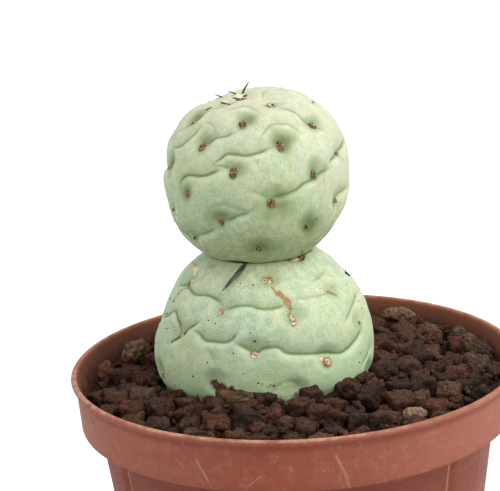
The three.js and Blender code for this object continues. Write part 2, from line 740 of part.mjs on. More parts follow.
function crownSolid(growth) {
  const half = crown.knobHalf;
  const knob = stoneShape(crown.seed, 1, half, growth).rotateZ(crown.turn * degree).translate(...crown.knob);
  const { rootRoute, rootThick, rootThin, rootSides, rootSteps } = crown;
  const root = taperedRod(rootRoute, rootThick + growth, rootThin + growth, rootSides, rootSteps, 1);
  return toSolid(knob).add(root);
}

const crownBody = crownSolid(0);
const crownGrown = crownSolid(clearance);
const lowerBody = buildLower(crownGrown);
const stoneHollows = Object.values(looseStones).map((stone) => looseStone(stone, clearance));

// One material for each finish
const finishes = {
  terracotta: { color: 0xb4664b, roughness: 0.6, metalness: 0 },
  skin: { color: 0xb9ccaa, roughness: 0.62, metalness: 0 },
  bark: { color: 0x7d5a35, roughness: 0.9, metalness: 0 },
  lava: { color: 0x4b342b, roughness: 0.95, metalness: 0 },
  paleStone: { color: 0x927b66, roughness: 0.9, metalness: 0 },
  greyStone: { color: 0x6b5c51, roughness: 0.9, metalness: 0 },
  redStone: { color: 0x7a3c31, roughness: 0.95, metalness: 0 },
  ochreStone: { color: 0x77553a, roughness: 0.9, metalness: 0 },
};

const pottedCactus = new THREE.Group();

function place(name, solid, finish) {
  const mesh = new THREE.Mesh(toGeometry(solid), new THREE.MeshStandardMaterial(finishes[finish]));
  mesh.name = name;
  pottedCactus.add(mesh);
}

const stoneFinishes = {
  stone_pale_tan: 'paleStone',
  stone_block: 'ochreStone',
  stone_grey: 'greyStone',
  stone_tall: 'ochreStone',
  stone_grey_brown: 'greyStone',
  stone_red_porous: 'redStone',
  stone_ochre: 'ochreStone',
  stone_dark: 'lava',
  stone_light_tan: 'paleStone',
};

place('pot', buildPot(), 'terracotta');
place('gravel_bed', buildGravel([stemHole(), crownGrown, ...stoneHollows]), 'lava');
place('root_crown', crownBody, 'bark');
place('lower_segment', lowerBody, 'skin');
place('upper_segment', buildUpper(), 'skin');
for (const [name, stone] of Object.entries(looseStones)) {
  const body = looseStone(stone, 0).subtract(stemHole());
  place(name, largestBody(body), stoneFinishes[name]);
}

export default pottedCactus;
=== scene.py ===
# %% [markdown]
# # A tephrocactus geometricus in a nursery pot
# The solids of this object are made already: the pot, the gravel that fills it, a corky root crown, two
# round stem segments and nine loose stones. A finer model can be cut from those solids or be built over
# them. Here each piece is built anew from the same dimensions and the same repeatable draws, because a
# furrow in the skin or a pore in a grain needs far more faces than a solid that is weighed and stacked.

# %% The frame and the units
import itertools
import json
import math
from functools import partialmethod, reduce

import bpy
import numpy as np
from mathutils import Matrix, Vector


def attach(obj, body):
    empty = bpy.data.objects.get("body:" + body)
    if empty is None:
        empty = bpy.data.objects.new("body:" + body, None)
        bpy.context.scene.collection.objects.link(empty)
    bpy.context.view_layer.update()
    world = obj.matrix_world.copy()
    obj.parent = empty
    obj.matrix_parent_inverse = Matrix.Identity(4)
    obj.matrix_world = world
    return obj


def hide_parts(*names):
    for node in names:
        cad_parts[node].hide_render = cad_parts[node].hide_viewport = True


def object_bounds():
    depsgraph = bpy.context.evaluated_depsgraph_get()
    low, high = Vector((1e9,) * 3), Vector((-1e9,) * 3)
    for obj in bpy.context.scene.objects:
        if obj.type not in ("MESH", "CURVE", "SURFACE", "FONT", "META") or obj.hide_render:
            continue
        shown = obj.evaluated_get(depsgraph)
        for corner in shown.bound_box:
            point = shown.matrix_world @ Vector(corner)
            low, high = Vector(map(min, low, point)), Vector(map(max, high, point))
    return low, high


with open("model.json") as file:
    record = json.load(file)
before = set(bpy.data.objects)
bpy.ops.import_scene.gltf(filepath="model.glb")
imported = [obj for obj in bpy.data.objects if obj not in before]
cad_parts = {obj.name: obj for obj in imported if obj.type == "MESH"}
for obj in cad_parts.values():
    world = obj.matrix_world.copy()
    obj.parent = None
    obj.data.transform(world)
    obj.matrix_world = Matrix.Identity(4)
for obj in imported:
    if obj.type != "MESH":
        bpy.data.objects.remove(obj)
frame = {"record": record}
cad_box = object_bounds()
MM = 0.001
CAD_SIZE = (cad_box[1] - cad_box[0]) / MM
print("the solids measure", [round(side, 1) for side in CAD_SIZE], "mm")

# %% [markdown]
# The photograph looks down on the gravel from a little above the plant, with the pot's foot out of view. A
# camera can be placed by eye, or worked out from edges whose real sizes are known. The rim, the band and
# the wall of the pot are circles of known size, so they gave the place, the turn and the lens.

# %% The camera
SENSOR = 36.0
LENS = 122.46
camera_place = (0.0, -378.37, 219.73)
camera_angles = {"turn": -1.363, "drop": 15.068, "roll": -3.223}


def placed(name, data):
    """An object in the scene that holds a camera, a lamp or a mesh."""
    thing = bpy.data.objects.new(name, data)
    bpy.context.scene.collection.objects.link(thing)
    return thing


def axes_at(right, up, back, place):
    """The matrix of three axes that meet at a place in millimetres."""
    columns = np.column_stack([right, up, back, np.array(place) * MM])
    return Matrix([*columns.tolist(), [0, 0, 0, 1]])


def camera_matrix(place, turn, drop, roll):
    """Where the camera stands and how it is turned, from angles in degrees."""
    turn, drop, roll = math.radians(turn), math.radians(drop), math.radians(roll)
    ahead = np.array([math.sin(turn) * math.cos(drop), math.cos(turn) * math.cos(drop), -math.sin(drop)])
    level = np.array([math.cos(turn), -math.sin(turn), 0.0])
    upright = np.cross(level, ahead)
    right = level * math.cos(roll) + upright * math.sin(roll)
    up = upright * math.cos(roll) - level * math.sin(roll)
    return axes_at(right, up, -ahead, place)


camera_data = bpy.data.cameras.new("camera")
camera_data.sensor_width = SENSOR
camera_data.lens = LENS
camera = placed("camera", camera_data)
camera.matrix_world = camera_matrix(camera_place, **camera_angles)
bpy.context.scene.camera = camera
print("the camera is", round(np.linalg.norm(camera_place)), "mm away")

# %% [markdown]
# The light in the photograph is that of a white tent: it comes from all sides, most of it from above and
# from the right, and hardly casts a shadow. A ring of lamps could give it, but one sky that is brighter
# overhead, with two wide panels, is simpler, and keeps the furrows readable because the panels come from
# one side. The pot stands on a wide pale floor, which throws light back up as the tent does.

# %% The light
SKY_OVERHEAD = 1.5
SKY_LEVEL = 0.5
panels = {
    "panel_above_right": {"place": (500, -230, 740), "size": 520, "watts": 4.0},
    "panel_right": {"place": (760, -160, 230), "size": 420, "watts": 1.5},
    "panel_left": {"place": (-620, -300, 420), "size": 500, "watts": 0.6},
}
# the lamps look at the middle of the plant
aim = np.array([0.0, 0.0, 100.0])

sky = bpy.data.worlds.new("sky")
sky.use_nodes = True
sky_nodes = sky.node_tree.nodes
sky_links = sky.node_tree.links
height = sky_nodes.new("ShaderNodeSeparateXYZ")
sky_links.new(sky_nodes.new("ShaderNodeTexCoord").outputs["Generated"], height.inputs[0])
strength = sky_nodes.new("ShaderNodeMapRange")
strength.inputs["To Min"].default_value = SKY_LEVEL
strength.inputs["To Max"].default_value = SKY_OVERHEAD
sky_links.new(height.outputs["Z"], strength.inputs["Value"])
sky_nodes["Background"].inputs["Color"].default_value = (1.0, 1.0, 1.0, 1.0)
sky_links.new(strength.outputs["Result"], sky_nodes["Background"].inputs["Strength"])
bpy.context.scene.world = sky
bpy.context.scene.view_settings.view_transform = "Standard"


def facing(place, target):
    """A frame whose -Z axis points from place to target."""
    back = np.array(place, float) - target
    back /= np.linalg.norm(back)
    side = np.cross([0, 0, 1], back)
    side /= np.linalg.norm(side)
    return axes_at(side, np.cross(back, side), back, place)


for name, panel in panels.items():
    lamp = bpy.data.lights.new(name, "AREA")
    lamp.shape = "DISK"
    lamp.size = panel["size"] * MM
    lamp.energy = panel["watts"]
    placed(name, lamp).matrix_world = facing(panel["place"], aim)
print(len(panels), "light panels under a sky of strength", SKY_LEVEL, "to", SKY_OVERHEAD)

# %% [markdown]
# Every finish is a sum of masks: how deep in a furrow, how near an areole, how dusty. Blender's editor adds
# such masks up with one Math node for each sign. A small class around a socket lets the same sum be written
# as a line of Python, and one method adds any other node, such as a noise or a bump.

# %% Shader sums
class Mask:
    """A socket that gives one number all over a surface. Signs between masks add Math nodes."""

    def __init__(self, finish, socket):
        self.finish = finish
        self.socket = socket

    def math(self, operation, *others):
        return self.finish.node("ShaderNodeMath", {"operation": operation}, dict(enumerate((self, *others))))

    __add__ = __radd__ = partialmethod(math, "ADD")
    __sub__ = partialmethod(math, "SUBTRACT")
    __mul__ = partialmethod(math, "MULTIPLY")
    __truediv__ = partialmethod(math, "DIVIDE")
    __abs__ = partialmethod(math, "ABSOLUTE")

    def __rsub__(self, first):
        return self.finish.node("ShaderNodeMath", {"operation": "SUBTRACT"}, {0: first, 1: self})

    def held(self):
        """The same mask kept between 0 and 1."""
        return self.finish.node("ShaderNodeClamp", {}, {"Value": self})

    def between(self, low, high):
        """0 at low and 1 at high, with a soft start and end."""
        settings = {"interpolation_type": "SMOOTHSTEP"}
        return self.finish.node("ShaderNodeMapRange", settings, {"Value": self, 1: low, 2: high})


class Finish:
    """A material while it is being mixed: its tones by name, and the colour that they give so far."""

    def __init__(self, name, tones, **surface):
        self.tones = tones
        self.colour = None
        self.material = bpy.data.materials.new(name)
        self.material.use_nodes = True
        self.tree = self.material.node_tree
        self.surface = self.tree.nodes["Principled BSDF"]
        for socket, value in surface.items():
            self.surface.inputs[socket.replace("_", " ")].default_value = value
        where = self.node("ShaderNodeTexCoord", {}, {}, "Object")
        self.place = self.node("ShaderNodeVectorMath", {"operation": "SCALE"}, {0: where, "Scale": 1 / MM})

    def node(self, kind, settings, given, output=0):
        """Adds a node: its settings first, then the values or links of its sockets."""
        made = self.tree.nodes.new(kind)
        for name, value in settings.items():
            setattr(made, name, value)
        for name, value in given.items():
            if isinstance(value, Mask):
                self.tree.links.new(value.socket, made.inputs[name])
            else:
                made.inputs[name].default_value = value
        return Mask(self, made.outputs[output])

    def value(self, name, output="Fac"):
        """What the mesh holds at each of its points: a number, or with "Color" a colour."""
        return self.node("ShaderNodeAttribute", {"attribute_name": name}, {}, output)

    def upward(self):
        """1 where the surface faces up, 0 on a wall and -1 where it faces down."""
        normal = self.node("ShaderNodeNewGeometry", {}, {}, "Normal")
        return self.node("ShaderNodeSeparateXYZ", {}, {0: normal}, "Z")

    def clouds(self, size, detail=2.0, roughness=0.5, stretch=None):
        """Soft noise around 0.5, with lumps of that size in millimetres."""
        where = self.place
        if stretch:
            where = self.node("ShaderNodeVectorMath", {"operation": "MULTIPLY"}, {0: where, 1: stretch})
        given = {"Vector": where, "Scale": 1 / size, "Detail": detail, "Roughness": roughness}
        return self.node("ShaderNodeTexNoise", {}, given, "Fac")

    def pits(self, size):
        """The distance to the nearest of many scattered points, as a share of their spacing."""
        return self.node("ShaderNodeTexVoronoi", {}, {"Vector": self.place, "Scale": 1 / size}, "Distance")

    def blend(self, share, first, second, way="MIX"):
        """One colour laid over another by a mask. A colour can be a tone's name."""
        settings = {"data_type": "RGBA", "blend_type": way, "clamp_factor": True}
        first, second = (self.tones.get(tone, tone) for tone in (first, second))
        return self.node("ShaderNodeMix", settings, {0: share, 6: first, 7: second}, 2)

    def lay(self, share, tone):
        """Lays a tone over the colour so far."""
        self.colour = self.blend(share, self.colour, tone)

    def feed(self, socket, mask):
        self.tree.links.new(mask.socket, self.surface.inputs[socket])

    def done(self, height=None, depth=0.0):
        """The material, with fine relief of that depth in millimetres, which only the light sees."""
        self.feed("Base Color", self.colour)
        if height is not None:
            given = {"Height": height, "Distance": depth * MM, "Strength": 1.0}
            self.feed("Normal", self.node("ShaderNodeBump", {}, given, "Normal"))
        return self.material


def rgb(red, green, blue):
    """A colour as it looks on a screen, from 0 to 255, in the shader's linear units."""
    shares = [value / 255 for value in (red, green, blue)]
    linear = [s / 12.92 if s <= 0.04045 else ((s + 0.055) / 1.055) ** 2.4 for s in shares]
    return (*linear, 1.0)


print("a mid grey is", round(rgb(128, 128, 128)[0], 3))

# %% [markdown]
# The plant and the gravel look random, but must come out alike each time, and the big grains must lie where
# their solids lie. Python's own random numbers would differ from those of the part's source, so the same
# small generator is written here again. Lumps and roughness come from a noise that any point can be looked
# up in.

# %% Repeatable draws and noise
WORD = 0xFFFFFFFF
HALF_WORD = 0x80000000
LATTICE = np.array([73856093, 19349663, 83492791])


def draws(seed):
    """A repeatable draw of numbers between 0 and 1, the same as in the part's source."""
    state = int(seed)

    def draw():
        nonlocal state
        state = (state + 0x6D2B79F5) & WORD
        mixed = ((state ^ (state >> 15)) * (1 | state)) & WORD
        mixed = ((mixed + (mixed ^ (mixed >> 7)) * (61 | mixed)) ^ mixed) & WORD
        return (mixed ^ (mixed >> 14)) / (WORD + 1)

    return draw


def lumps(points, size, seed):
    """Smooth noise from -1 to 1 at each point, with lumps of that size."""
    grid = points / size
    cell = np.floor(grid).astype(np.int64)
    part = grid - cell
    part = part * part * (3 - 2 * part)
    total = np.zeros(len(points))
    for corner in itertools.product((0, 1), repeat=3):
        key = ((cell + corner) @ LATTICE + seed * 9176263) & WORD
        key = ((key ^ (key >> 15)) * 2246822519) & WORD
        key = ((key ^ (key >> 13)) * 3266489917) & WORD
        key = key ^ (key >> 16)
        share = np.where(corner, part, 1 - part).prod(axis=1)
        total += share * (key / HALF_WORD - 1)
    return total


def smooth_step(start, end, value):
    share = np.clip((value - start) / (end - start), 0, 1)
    return share * share * (3 - 2 * share)


trial = draws(501)
print("the first draws are", [round(trial(), 3) for _ in range(3)])

# %% [markdown]
# A piece of this model is a list of points in millimetres and a list of faces, with a few numbers at each
# point that its finish reads. One helper turns them into a Blender mesh in metres, sets it on the frame and
# hides the solids that it stands for. Writing whole arrays at once keeps a mesh of a hundred thousand points
# quick.

# %% Making a piece
def make_mesh(name, points, faces, values):
    """A mesh from points in millimetres, faces with a fixed number of corners, and values at the points."""
    faces = np.asarray(faces)
    corners = faces.shape[1]
    mesh = bpy.data.meshes.new(name)
    mesh.vertices.add(len(points))
    mesh.vertices.foreach_set("co", (np.asarray(points) * MM).astype(np.float32).ravel())
    mesh.loops.add(faces.size)
    mesh.loops.foreach_set("vertex_index", faces.astype(np.int32).ravel())
    mesh.polygons.add(len(faces))
    mesh.polygons.foreach_set("loop_start", np.arange(0, faces.size, corners, dtype=np.int32))
    mesh.polygons.foreach_set("use_smooth", np.ones(len(faces), bool))
    mesh.update(calc_edges=True)
    for label, numbers in values.items():
        numbers = np.asarray(numbers, np.float32)
        kind, field = ("FLOAT", "value") if numbers.ndim == 1 else ("FLOAT_COLOR", "color")
        mesh.attributes.new(label, kind, "POINT").data.foreach_set(field, numbers.ravel())
    return mesh


added_pieces = []


def triangles_in(piece):
    return sum(len(face.vertices) - 2 for face in piece.data.polygons)


def add_piece(name, points, faces, values, finish, slot, *nodes):
    """Makes a mesh and puts it on the frame as a piece that stands for those solids."""
    mesh = make_mesh(name, points, faces, values)
    mesh.materials.append(finish)
    piece = placed(name, mesh)
    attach(piece, "root")
    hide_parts(*nodes)
    added_pieces.append(piece)
    print(name, "has", triangles_in(piece), "triangles")
    return piece


# %% [markdown]
# The pot stands on a plain pale floor. A photographer would bend a sheet of paper up behind the pot, but
# from this height nothing above the floor is seen, so a flat disc that reaches far past the picture is
# enough. Its grey is just below white, and the soft light over it turns it as white as the photograph's
# ground.

# %% The floor
FLOOR_RADIUS = 2400.0
FLOOR_RINGS = 24
FLOOR_SECTORS = 96


def disc(radius, rings, sectors):
    """A flat round net of triangles with its middle at the origin."""
    reach = np.linspace(0, radius, rings + 1)[1:]
    angle = np.arange(sectors) * 2 * np.pi / sectors
    x, y = np.outer(reach, np.cos(angle)).ravel(), np.outer(reach, np.sin(angle)).ravel()
    points = np.vstack([[0, 0, 0], np.column_stack([x, y, np.zeros(len(x))])])
    faces = [(0, 1 + sector, 1 + (sector + 1) % sectors) for sector in range(sectors)]
    for ring in range(rings - 1):
        for sector in range(sectors):
            a = 1 + ring * sectors + sector
            b = 1 + ring * sectors + (sector + 1) % sectors
            faces += [(a, a + sectors, b + sectors), (a, b + sectors, b)]
    return points, faces


def floor_finish():
    finish = Finish("pale_floor", {}, Roughness=0.9)
    finish.colour = finish.blend(finish.clouds(140.0), (0.84, 0.84, 0.84, 1), (0.87, 0.87, 0.87, 1))
    return finish.done()


floor_mesh = make_mesh("floor", *disc(FLOOR_RADIUS, FLOOR_RINGS, FLOOR_SECTORS), {})
floor_mesh.materials.append(floor_finish())
floor = placed("floor", floor_mesh)
print("the floor is", 2 * FLOOR_RADIUS * MM, "m across")

# %% [markdown]
# Both stem segments are squat balls with a skin that hangs in folds. Areoles, the felted points that spines
# grow from, stand on a spiral of nearly the golden angle. Those that the photograph shows are set by their
# azimuth and elevation, and the spiral gives the others. Between them run furrows: the skin swells out
# above each one and tucks in sharply below, so each is a route of points over the ball with a depth.

# %% The two stem segments
# Sizes are in mm, and places are an azimuth and an elevation. A dent has a radius and a depth, a furrow a
# depth and a route, a pad a half width and a half height, and a hollow of painted shade its two offsets, two
# half sizes and strength. Below calm_below the skin is smooth. A spine is rooted that deep and bows that far.
upper = {
    "node": "upper_segment",
    "centre": (-6.8, 8.0, 132.7), "girth": 21.5, "rise": 20.2, "drop": 20.3, "squareness": 2.25,
    "calm_below": -66, "calm_span": 16, "rooted": 0.4, "bow": 0.18, "bow_way": None,
    "dents": [(-95, 70, 9, 1.6), (-94, 13, 3.4, 1.2), (-90, -15, 4.5, 1.6), (88, -38, 7, 1.0)],
    "spiral": {"count": 50.1, "start": 1.02, "phase": 336.5, "turn": 137.62, "back": -5.8, "side": -2.8},
    "areoles_seen": {
        0: (-24, 74), 3: (23, 59), 5: (-64, 43), 8: (-8, 44), 11: (52, 37), 13: (-37, 29), 16: (18, 28),
        19: (68, 15), 21: (-13, 14), 24: (39, 8), 26: (-46, -1), 29: (9, -5), 31: (-66, -14), 32: (60, -13),
        34: (-23, -17), 37: (33, -24), 39: (-55, -33), 42: (0, -38),
    },
    "furrows": [
        (1.0, [(-71, 33), (-65, 40), (-60, 48), (-53, 56), (-37, 62), (-24, 72)]),
        (0.6, [(-30, 53), (-20, 58), (-8, 60), (2, 56), (9, 50)]),
        (1.0, [(-37, 29), (-30, 34), (-20, 36), (-11, 39)]),
        (1.1, [(-69, 24), (-58, 27), (-48, 37), (-45, 42)]),
        (0.7, [(5, 33), (9, 38), (15, 42), (22, 42), (30, 40), (35, 34)]),
        (1.3, [(-27, 18), (-22, 22), (-18, 25), (-12, 25), (-5, 24), (1, 25), (6, 26), (12, 28)]),
        (0.9, [(-27, 18), (-23, 18), (-17, 17), (-13, 14)]),
        (1.4, [(-53, 2), (-52, 7), (-48, 10), (-43, 11), (-37, 11), (-31, 12), (-26, 14), (-20, 16)]),
        (1.3, [(50, 12), (55, 14), (63, 15), (74, 17), (89, 20)]),
        (1.3, [(7, -2), (11, -2), (17, -1), (25, 1), (31, 4), (36, 5), (44, 8), (52, 10)]),
        (0.6, [(-5, 3), (0, 2), (4, 0), (9, -3)]),
        (1.1, [(-23, -16), (-17, -15), (-11, -12), (-7, -11), (-2, -8)]),
        (1.1, [(-56, -35), (-46, -29), (-37, -26), (-26, -20)]),
        (0.9, [(26, 57), (39, 51), (46, 44), (52, 38), (59, 30)]),
        (0.5, [(-28, -7), (-19, -5), (-11, -8)]),
        (1.1, [(55, -19), (60, -12), (66, -9), (78, -7)]),
        (1.5, [(-104, 13), (-95, 10), (-86, 9), (-78, 10), (-70, 12), (-69, 24)]),
        (0.9, [(-72, -30), (-65, -31), (-60, -38)]),
    ],
    "faint_furrows": [
        (0.45, [(-1, 23), (2, 19), (3, 15)]),
        (0.4, [(-31, -11), (-28, -7), (-21, -4), (-13, -6), (-7, -9), (-3, -10)]),
        (0.6, [(70, 81), (31, 76), (19.5, 69.5)]),
        (0.45, [(50, 20), (49, 13), (45, 5), (45, -3)]),
        (0.4, [(25, 53), (41, 49), (45, 39)]),
        (0.5, [(-46, 40), (-43, 44), (-35, 43), (-27, 37)]),
    ],
    "pads": {
        0: (1.5, 1.0), 3: (0.85, 0.9), 5: (0.55, 0.45), 8: (0.9, 1.35), 11: (1.15, 0.95), 13: (0.9, 1.1),
        16: (0.85, 1.3), 19: (0.35, 0.4), 21: (0.85, 1.25), 24: (0.7, 0.9), 26: (0.6, 0.85), 29: (0.85, 0.85),
        31: (0.4, 0.4), 32: (0.4, 0.4), 34: (0.55, 0.65), 37: (0.35, 0.4), 39: (0.3, 0.3), 42: (0.5, 0.4),
        6: (0.2, 0.2), 10: (0.3, 0.3), 40: (0.2, 0.2), 45: (0.2, 0.2),
    },
    "hollows": {
        0: (0, 0, 2.0, 1.5, 0.3), 3: (0.6, 0.1, 2.6, 1.6, 0.6), 5: (-0.4, 1.6, 3.6, 3.4, 1.0),
        6: (0, 0, 1.0, 1.0, 0.2), 8: (0.5, 1.2, 3.8, 3.4, 0.85), 10: (0, 0.4, 2.0, 2.0, 0.4),
        11: (0, 0.7, 4.0, 2.6, 0.85), 13: (0.3, 1.3, 3.0, 3.4, 0.85), 16: (0.4, 0.9, 4.3, 4.0, 1.0),
        19: (0, 0.5, 1.8, 2.2, 0.6), 21: (0.6, 0.9, 3.6, 3.2, 0.85), 24: (0.2, 1.0, 3.0, 3.2, 0.95),
        26: (-0.4, 0.3, 2.8, 3.6, 0.9), 29: (1.3, 0.0, 5.6, 4.2, 0.95), 31: (0, 0, 1.6, 2.0, 0.5),
        32: (0, 0.4, 1.9, 2.3, 0.7), 34: (-0.5, 1.0, 4.0, 3.4, 0.95), 37: (0.6, 0.3, 3.8, 3.8, 1.0),
        39: (0, 0.4, 2.2, 2.0, 0.75), 40: (0, 0.4, 2.0, 2.0, 0.3), 42: (0.5, 0.6, 5.2, 3.8, 0.9),
        45: (0, 0.4, 2.0, 2.0, 0.2), 47: (0, 0.4, 2.0, 2.0, 0.2),
    },
    "hollow": 0.9, "felt": 1.0, "shaded": 1.0, "softened": 0.66, "top_bloom": 1.0, "foot_bloom": 0.0,
}
lower = {
    "node": "lower_segment",
    "centre": (-7.1, 8.0, 91.2), "girth": 25.9, "rise": 26.2, "drop": 22, "squareness": 2,
    "calm_below": -17, "calm_span": 9, "rooted": 0.3, "bow": 0.85, "bow_way": (0, -0.95, 0.3),
    "dents": [(-92, 27, 6.5, 1.0)],
    "spiral": {"count": 46.5, "start": -2.05, "phase": 32.9, "turn": 137.8, "back": 7.8, "side": 1.5},
    "areoles_seen": {
        2: (-75, 53), 3: (44, 63), 5: (6, 51), 7: (-68, 45), 8: (53, 37), 10: (-25, 34), 13: (18, 29),
        15: (-52, 18), 16: (65, 17), 18: (-4, 13), 21: (34, 4), 23: (-25, -4),
    },
    "furrows": [
        (1.4, [(-78, 40), (-68, 44), (-61, 43), (-50, 41), (-39, 42), (-32, 41), (-25, 38)]),
        (0.9, [(-54, 55), (-51, 59), (-44, 62)]),
        (1.3, [(-26, 36), (-20, 37), (-13, 38), (-7, 38), (1, 36), (9, 36), (17, 37)]),
        (0.5, [(19, 39), (26, 39), (37, 38), (46, 38), (58, 40)]),
        (1.5, [(-58, 13), (-53, 17), (-47, 22), (-42, 25), (-37, 28)]),
        (1.4, [(-100, 18), (-90, 19), (-80, 21), (-70, 25), (-62, 29), (-56, 25), (-52, 19)]),
        (1.4, [(-42, 23), (-37, 22), (-32, 19), (-26, 19), (-20, 19), (-16, 21), (-13, 25)]),
        (1.4, [(-15, 20), (-12, 18), (-8, 16), (-4, 14), (1, 16), (8, 16), (12, 13), (22, 11), (35, 9),
               (44, 7), (56, 10), (66, 14)]),
        (0.9, [(50, 21), (56, 23), (67, 27), (80, 30)]),
        (0.8, [(58, -5), (66, -2), (76, 3)]),
        (0.8, [(-94, 52), (-84, 54), (-75, 54), (-64, 50)]),
        (0.7, [(39, 46), (49, 47), (61, 49)]),
        (0.5, [(2, -8), (9, -2), (14, -2), (19, -6)]),
    ],
    "faint_furrows": [
        (0.4, [(22, 59), (31, 61)]),
        (0.45, [(-48, 54), (-47, 57), (-43, 60)]),
        (0.35, [(-33, 18), (-27, 12), (-24, 6)]),
    ],
    "pads": {
        2: (0.7, 0.6), 3: (0.9, 0.6), 5: (0.9, 0.8), 7: (0.7, 0.6), 8: (0.5, 0.6), 10: (0.5, 0.65),
        13: (0.6, 0.8), 15: (0.5, 0.5), 16: (0.35, 0.45), 18: (0.6, 0.6), 21: (0.7, 0.65), 23: (0.0, 0.0),
    },
    "hollows": {23: (-0.6, 0.3, 3.0, 3.2, 0.6), 26: (0, 0, 2.0, 2.0, 0.3)},
    "hollow": 0.4, "felt": 0.72, "shaded": 0.0, "softened": 0.52, "top_bloom": 0.65, "foot_bloom": 1.0,
}
hidden = {"neighbour": 5, "behind": 0.12, "farthest": 35, "wave": 0.055, "shallow": 0.8, "deeper": 0.6}


def direction(azimuth, elevation):
    """A way from the middle of a ball: azimuth 0 is the front, 90 the right, elevation 90 is up."""
    azimuth, elevation = np.radians(azimuth), np.radians(elevation)
    flat = np.cos(elevation)
    return np.stack([flat * np.sin(azimuth), -flat * np.cos(azimuth), np.sin(elevation)], axis=-1)


def ways_along(route):
    """The ways to the points of a route, from the azimuth and elevation of each."""
    return direction(*np.array(route).T)


def unit(ways):
    return ways / np.linalg.norm(ways, axis=-1, keepdims=True)


def leaned(way, back, side):
    """A way turned about X by back, then about Y by side, in degrees."""
    x, y, z = way
    b, s = math.radians(back), math.radians(side)
    y, z = y * math.cos(b) - z * math.sin(b), y * math.sin(b) + z * math.cos(b)
    return np.array([x * math.cos(s) + z * math.sin(s), y, z * math.cos(s) - x * math.sin(s)])


def areoles_of(ball):
    """The way to each areole, by its number on the spiral."""
    spiral = ball["spiral"]
    ways = {}
    for number in range(math.ceil(spiral["count"] - spiral["start"])):
        share = (number + spiral["start"]) / spiral["count"]
        if share > 0:
            elevation = math.degrees(math.asin(1 - 2 * share))
            way = direction(spiral["phase"] + number * spiral["turn"], elevation)
            seen = ball["areoles_seen"].get(number)
            ways[number] = direction(*seen) if seen else leaned(way, spiral["back"], spiral["side"])
    return ways


def hidden_furrows(ball, areoles):
    """Away from the front, a furrow runs from each areole to its neighbour five places up the spiral."""
    draw = draws(round(ball["spiral"]["count"] * 10))
    lowest = math.sin(math.radians(ball["calm_below"]))
    routes = []
    for number, way in areoles.items():
        higher = areoles.get(number - hidden["neighbour"])
        wave = hidden["wave"] * (0.5 + draw())
        depth = hidden["shallow"] + hidden["deeper"] * draw()
        if higher is not None:
            middle = unit(way + higher)
            close = middle @ way > math.cos(math.radians(hidden["farthest"]))
            if close and middle[1] > hidden["behind"] and middle[2] > lowest:
                near = 0.7 * way + 0.3 * higher + [0, 0, wave]
                far = 0.3 * way + 0.7 * higher - [0, 0, wave / 2]
                routes.append((depth, np.array([way, near, far, higher])))
    return routes


for ball in (upper, lower):
    ball["areoles"] = areoles_of(ball)
    ball["routes"] = [(depth, ways_along(route)) for depth, route in ball["furrows"] + ball["faint_furrows"]]
    ball["routes"] += hidden_furrows(ball, ball["areoles"])
    print(len(ball["areoles"]), "areoles and", len(ball["routes"]), "furrows")

# %% [markdown]
# A furrow must be one smooth line over the ball, and the skin has to know how far it is from that line and
# on which side. The route becomes a curve through its points, then a row of close-set marks. The nearest
# mark gives the distance, and the mark's own upward way tells the swell above from the steep lip below.

# %% Furrows as rows of marks
MARK_SPACING = 0.2
TAPER = 2.6
END_DEPTH = 0.25


def curve_through(points, per_span=24):
    """A smooth line through points, with the centripetal rule, so that it never loops."""
    points = np.vstack([2 * points[0] - points[1], points, 2 * points[-1] - points[-2]])
    share = np.linspace(0, 1, per_span, endpoint=False)[:, None]
    line = []
    for a, b, c, d in zip(points, points[1:], points[2:], points[3:]):
        first, span, last = (max(np.linalg.norm(q - p), 1e-6) ** 0.5 for p, q in ((a, b), (b, c), (c, d)))
        leave = ((b - a) / first - (c - a) / (first + span) + (c - b) / span) * span
        arrive = ((c - b) / span - (d - b) / (span + last) + (d - c) / last) * span
        bend = 3 * (c - b) - 2 * leave - arrive
        twist = 2 * (b - c) + leave + arrive
        line.append(b + leave * share + bend * share**2 + twist * share**3)
    return np.vstack([*line, points[-2]])


def marks_of(ball, depth, ways):
    """Marks along a furrow: the way to each, the way along it, the way up out of it, and its depth."""
    line = unit(curve_through(unit(np.asarray(ways))))
    reach = np.concatenate([[0], np.cumsum(np.linalg.norm(np.diff(line, axis=0), axis=1))]) * ball["girth"]
    places = np.linspace(0, reach[-1], max(4, round(reach[-1] / MARK_SPACING)) + 1)
    way = unit(np.column_stack([np.interp(places, reach, line[:, axis]) for axis in range(3)]))
    along = unit(np.gradient(way, axis=0))
    to_end = np.minimum(places, reach[-1] - places)
    deep = depth * (END_DEPTH + (1 - END_DEPTH) * smooth_step(0, TAPER, to_end))
    return {"way": way, "along": along, "up": unit(np.cross(way, along)), "depth": deep}


def from_marks(ball, marks, ways):
    """For each way: its distance to a row of marks, signed by side, and the nearest mark's number."""
    nearest = np.argmax(ways @ marks["way"].T, axis=1)
    offset = (ways - marks["way"][nearest]) * ball["girth"]
    rise = np.einsum("ij,ij->i", offset, marks["up"][nearest])
    run = np.einsum("ij,ij->i", offset, marks["along"][nearest])
    beyond = np.maximum(np.abs(run) - MARK_SPACING, 0)
    straight = np.linalg.norm(offset, axis=1)
    distance = np.where(straight < ball["girth"], np.hypot(rise, beyond), straight)
    return distance, rise > 0, nearest


for ball in (upper, lower):
    ball["marks"] = [marks_of(ball, depth, ways) for depth, ways in ball["routes"]]
    print(sum(len(marks["way"]) for marks in ball["marks"]), "marks")

# %% [markdown]
# The skin is a height over the plain ball. A furrow takes the most away at its line, each areole sits in a
# dimple that is steepest at its upper edge, and soft lumps break up what would look turned on a lathe.
# Sculpting would give the same forms, but a formula can be sampled as finely as the mesh needs, and it also
# tells the finish where the skin is folded, dimpled or corky.

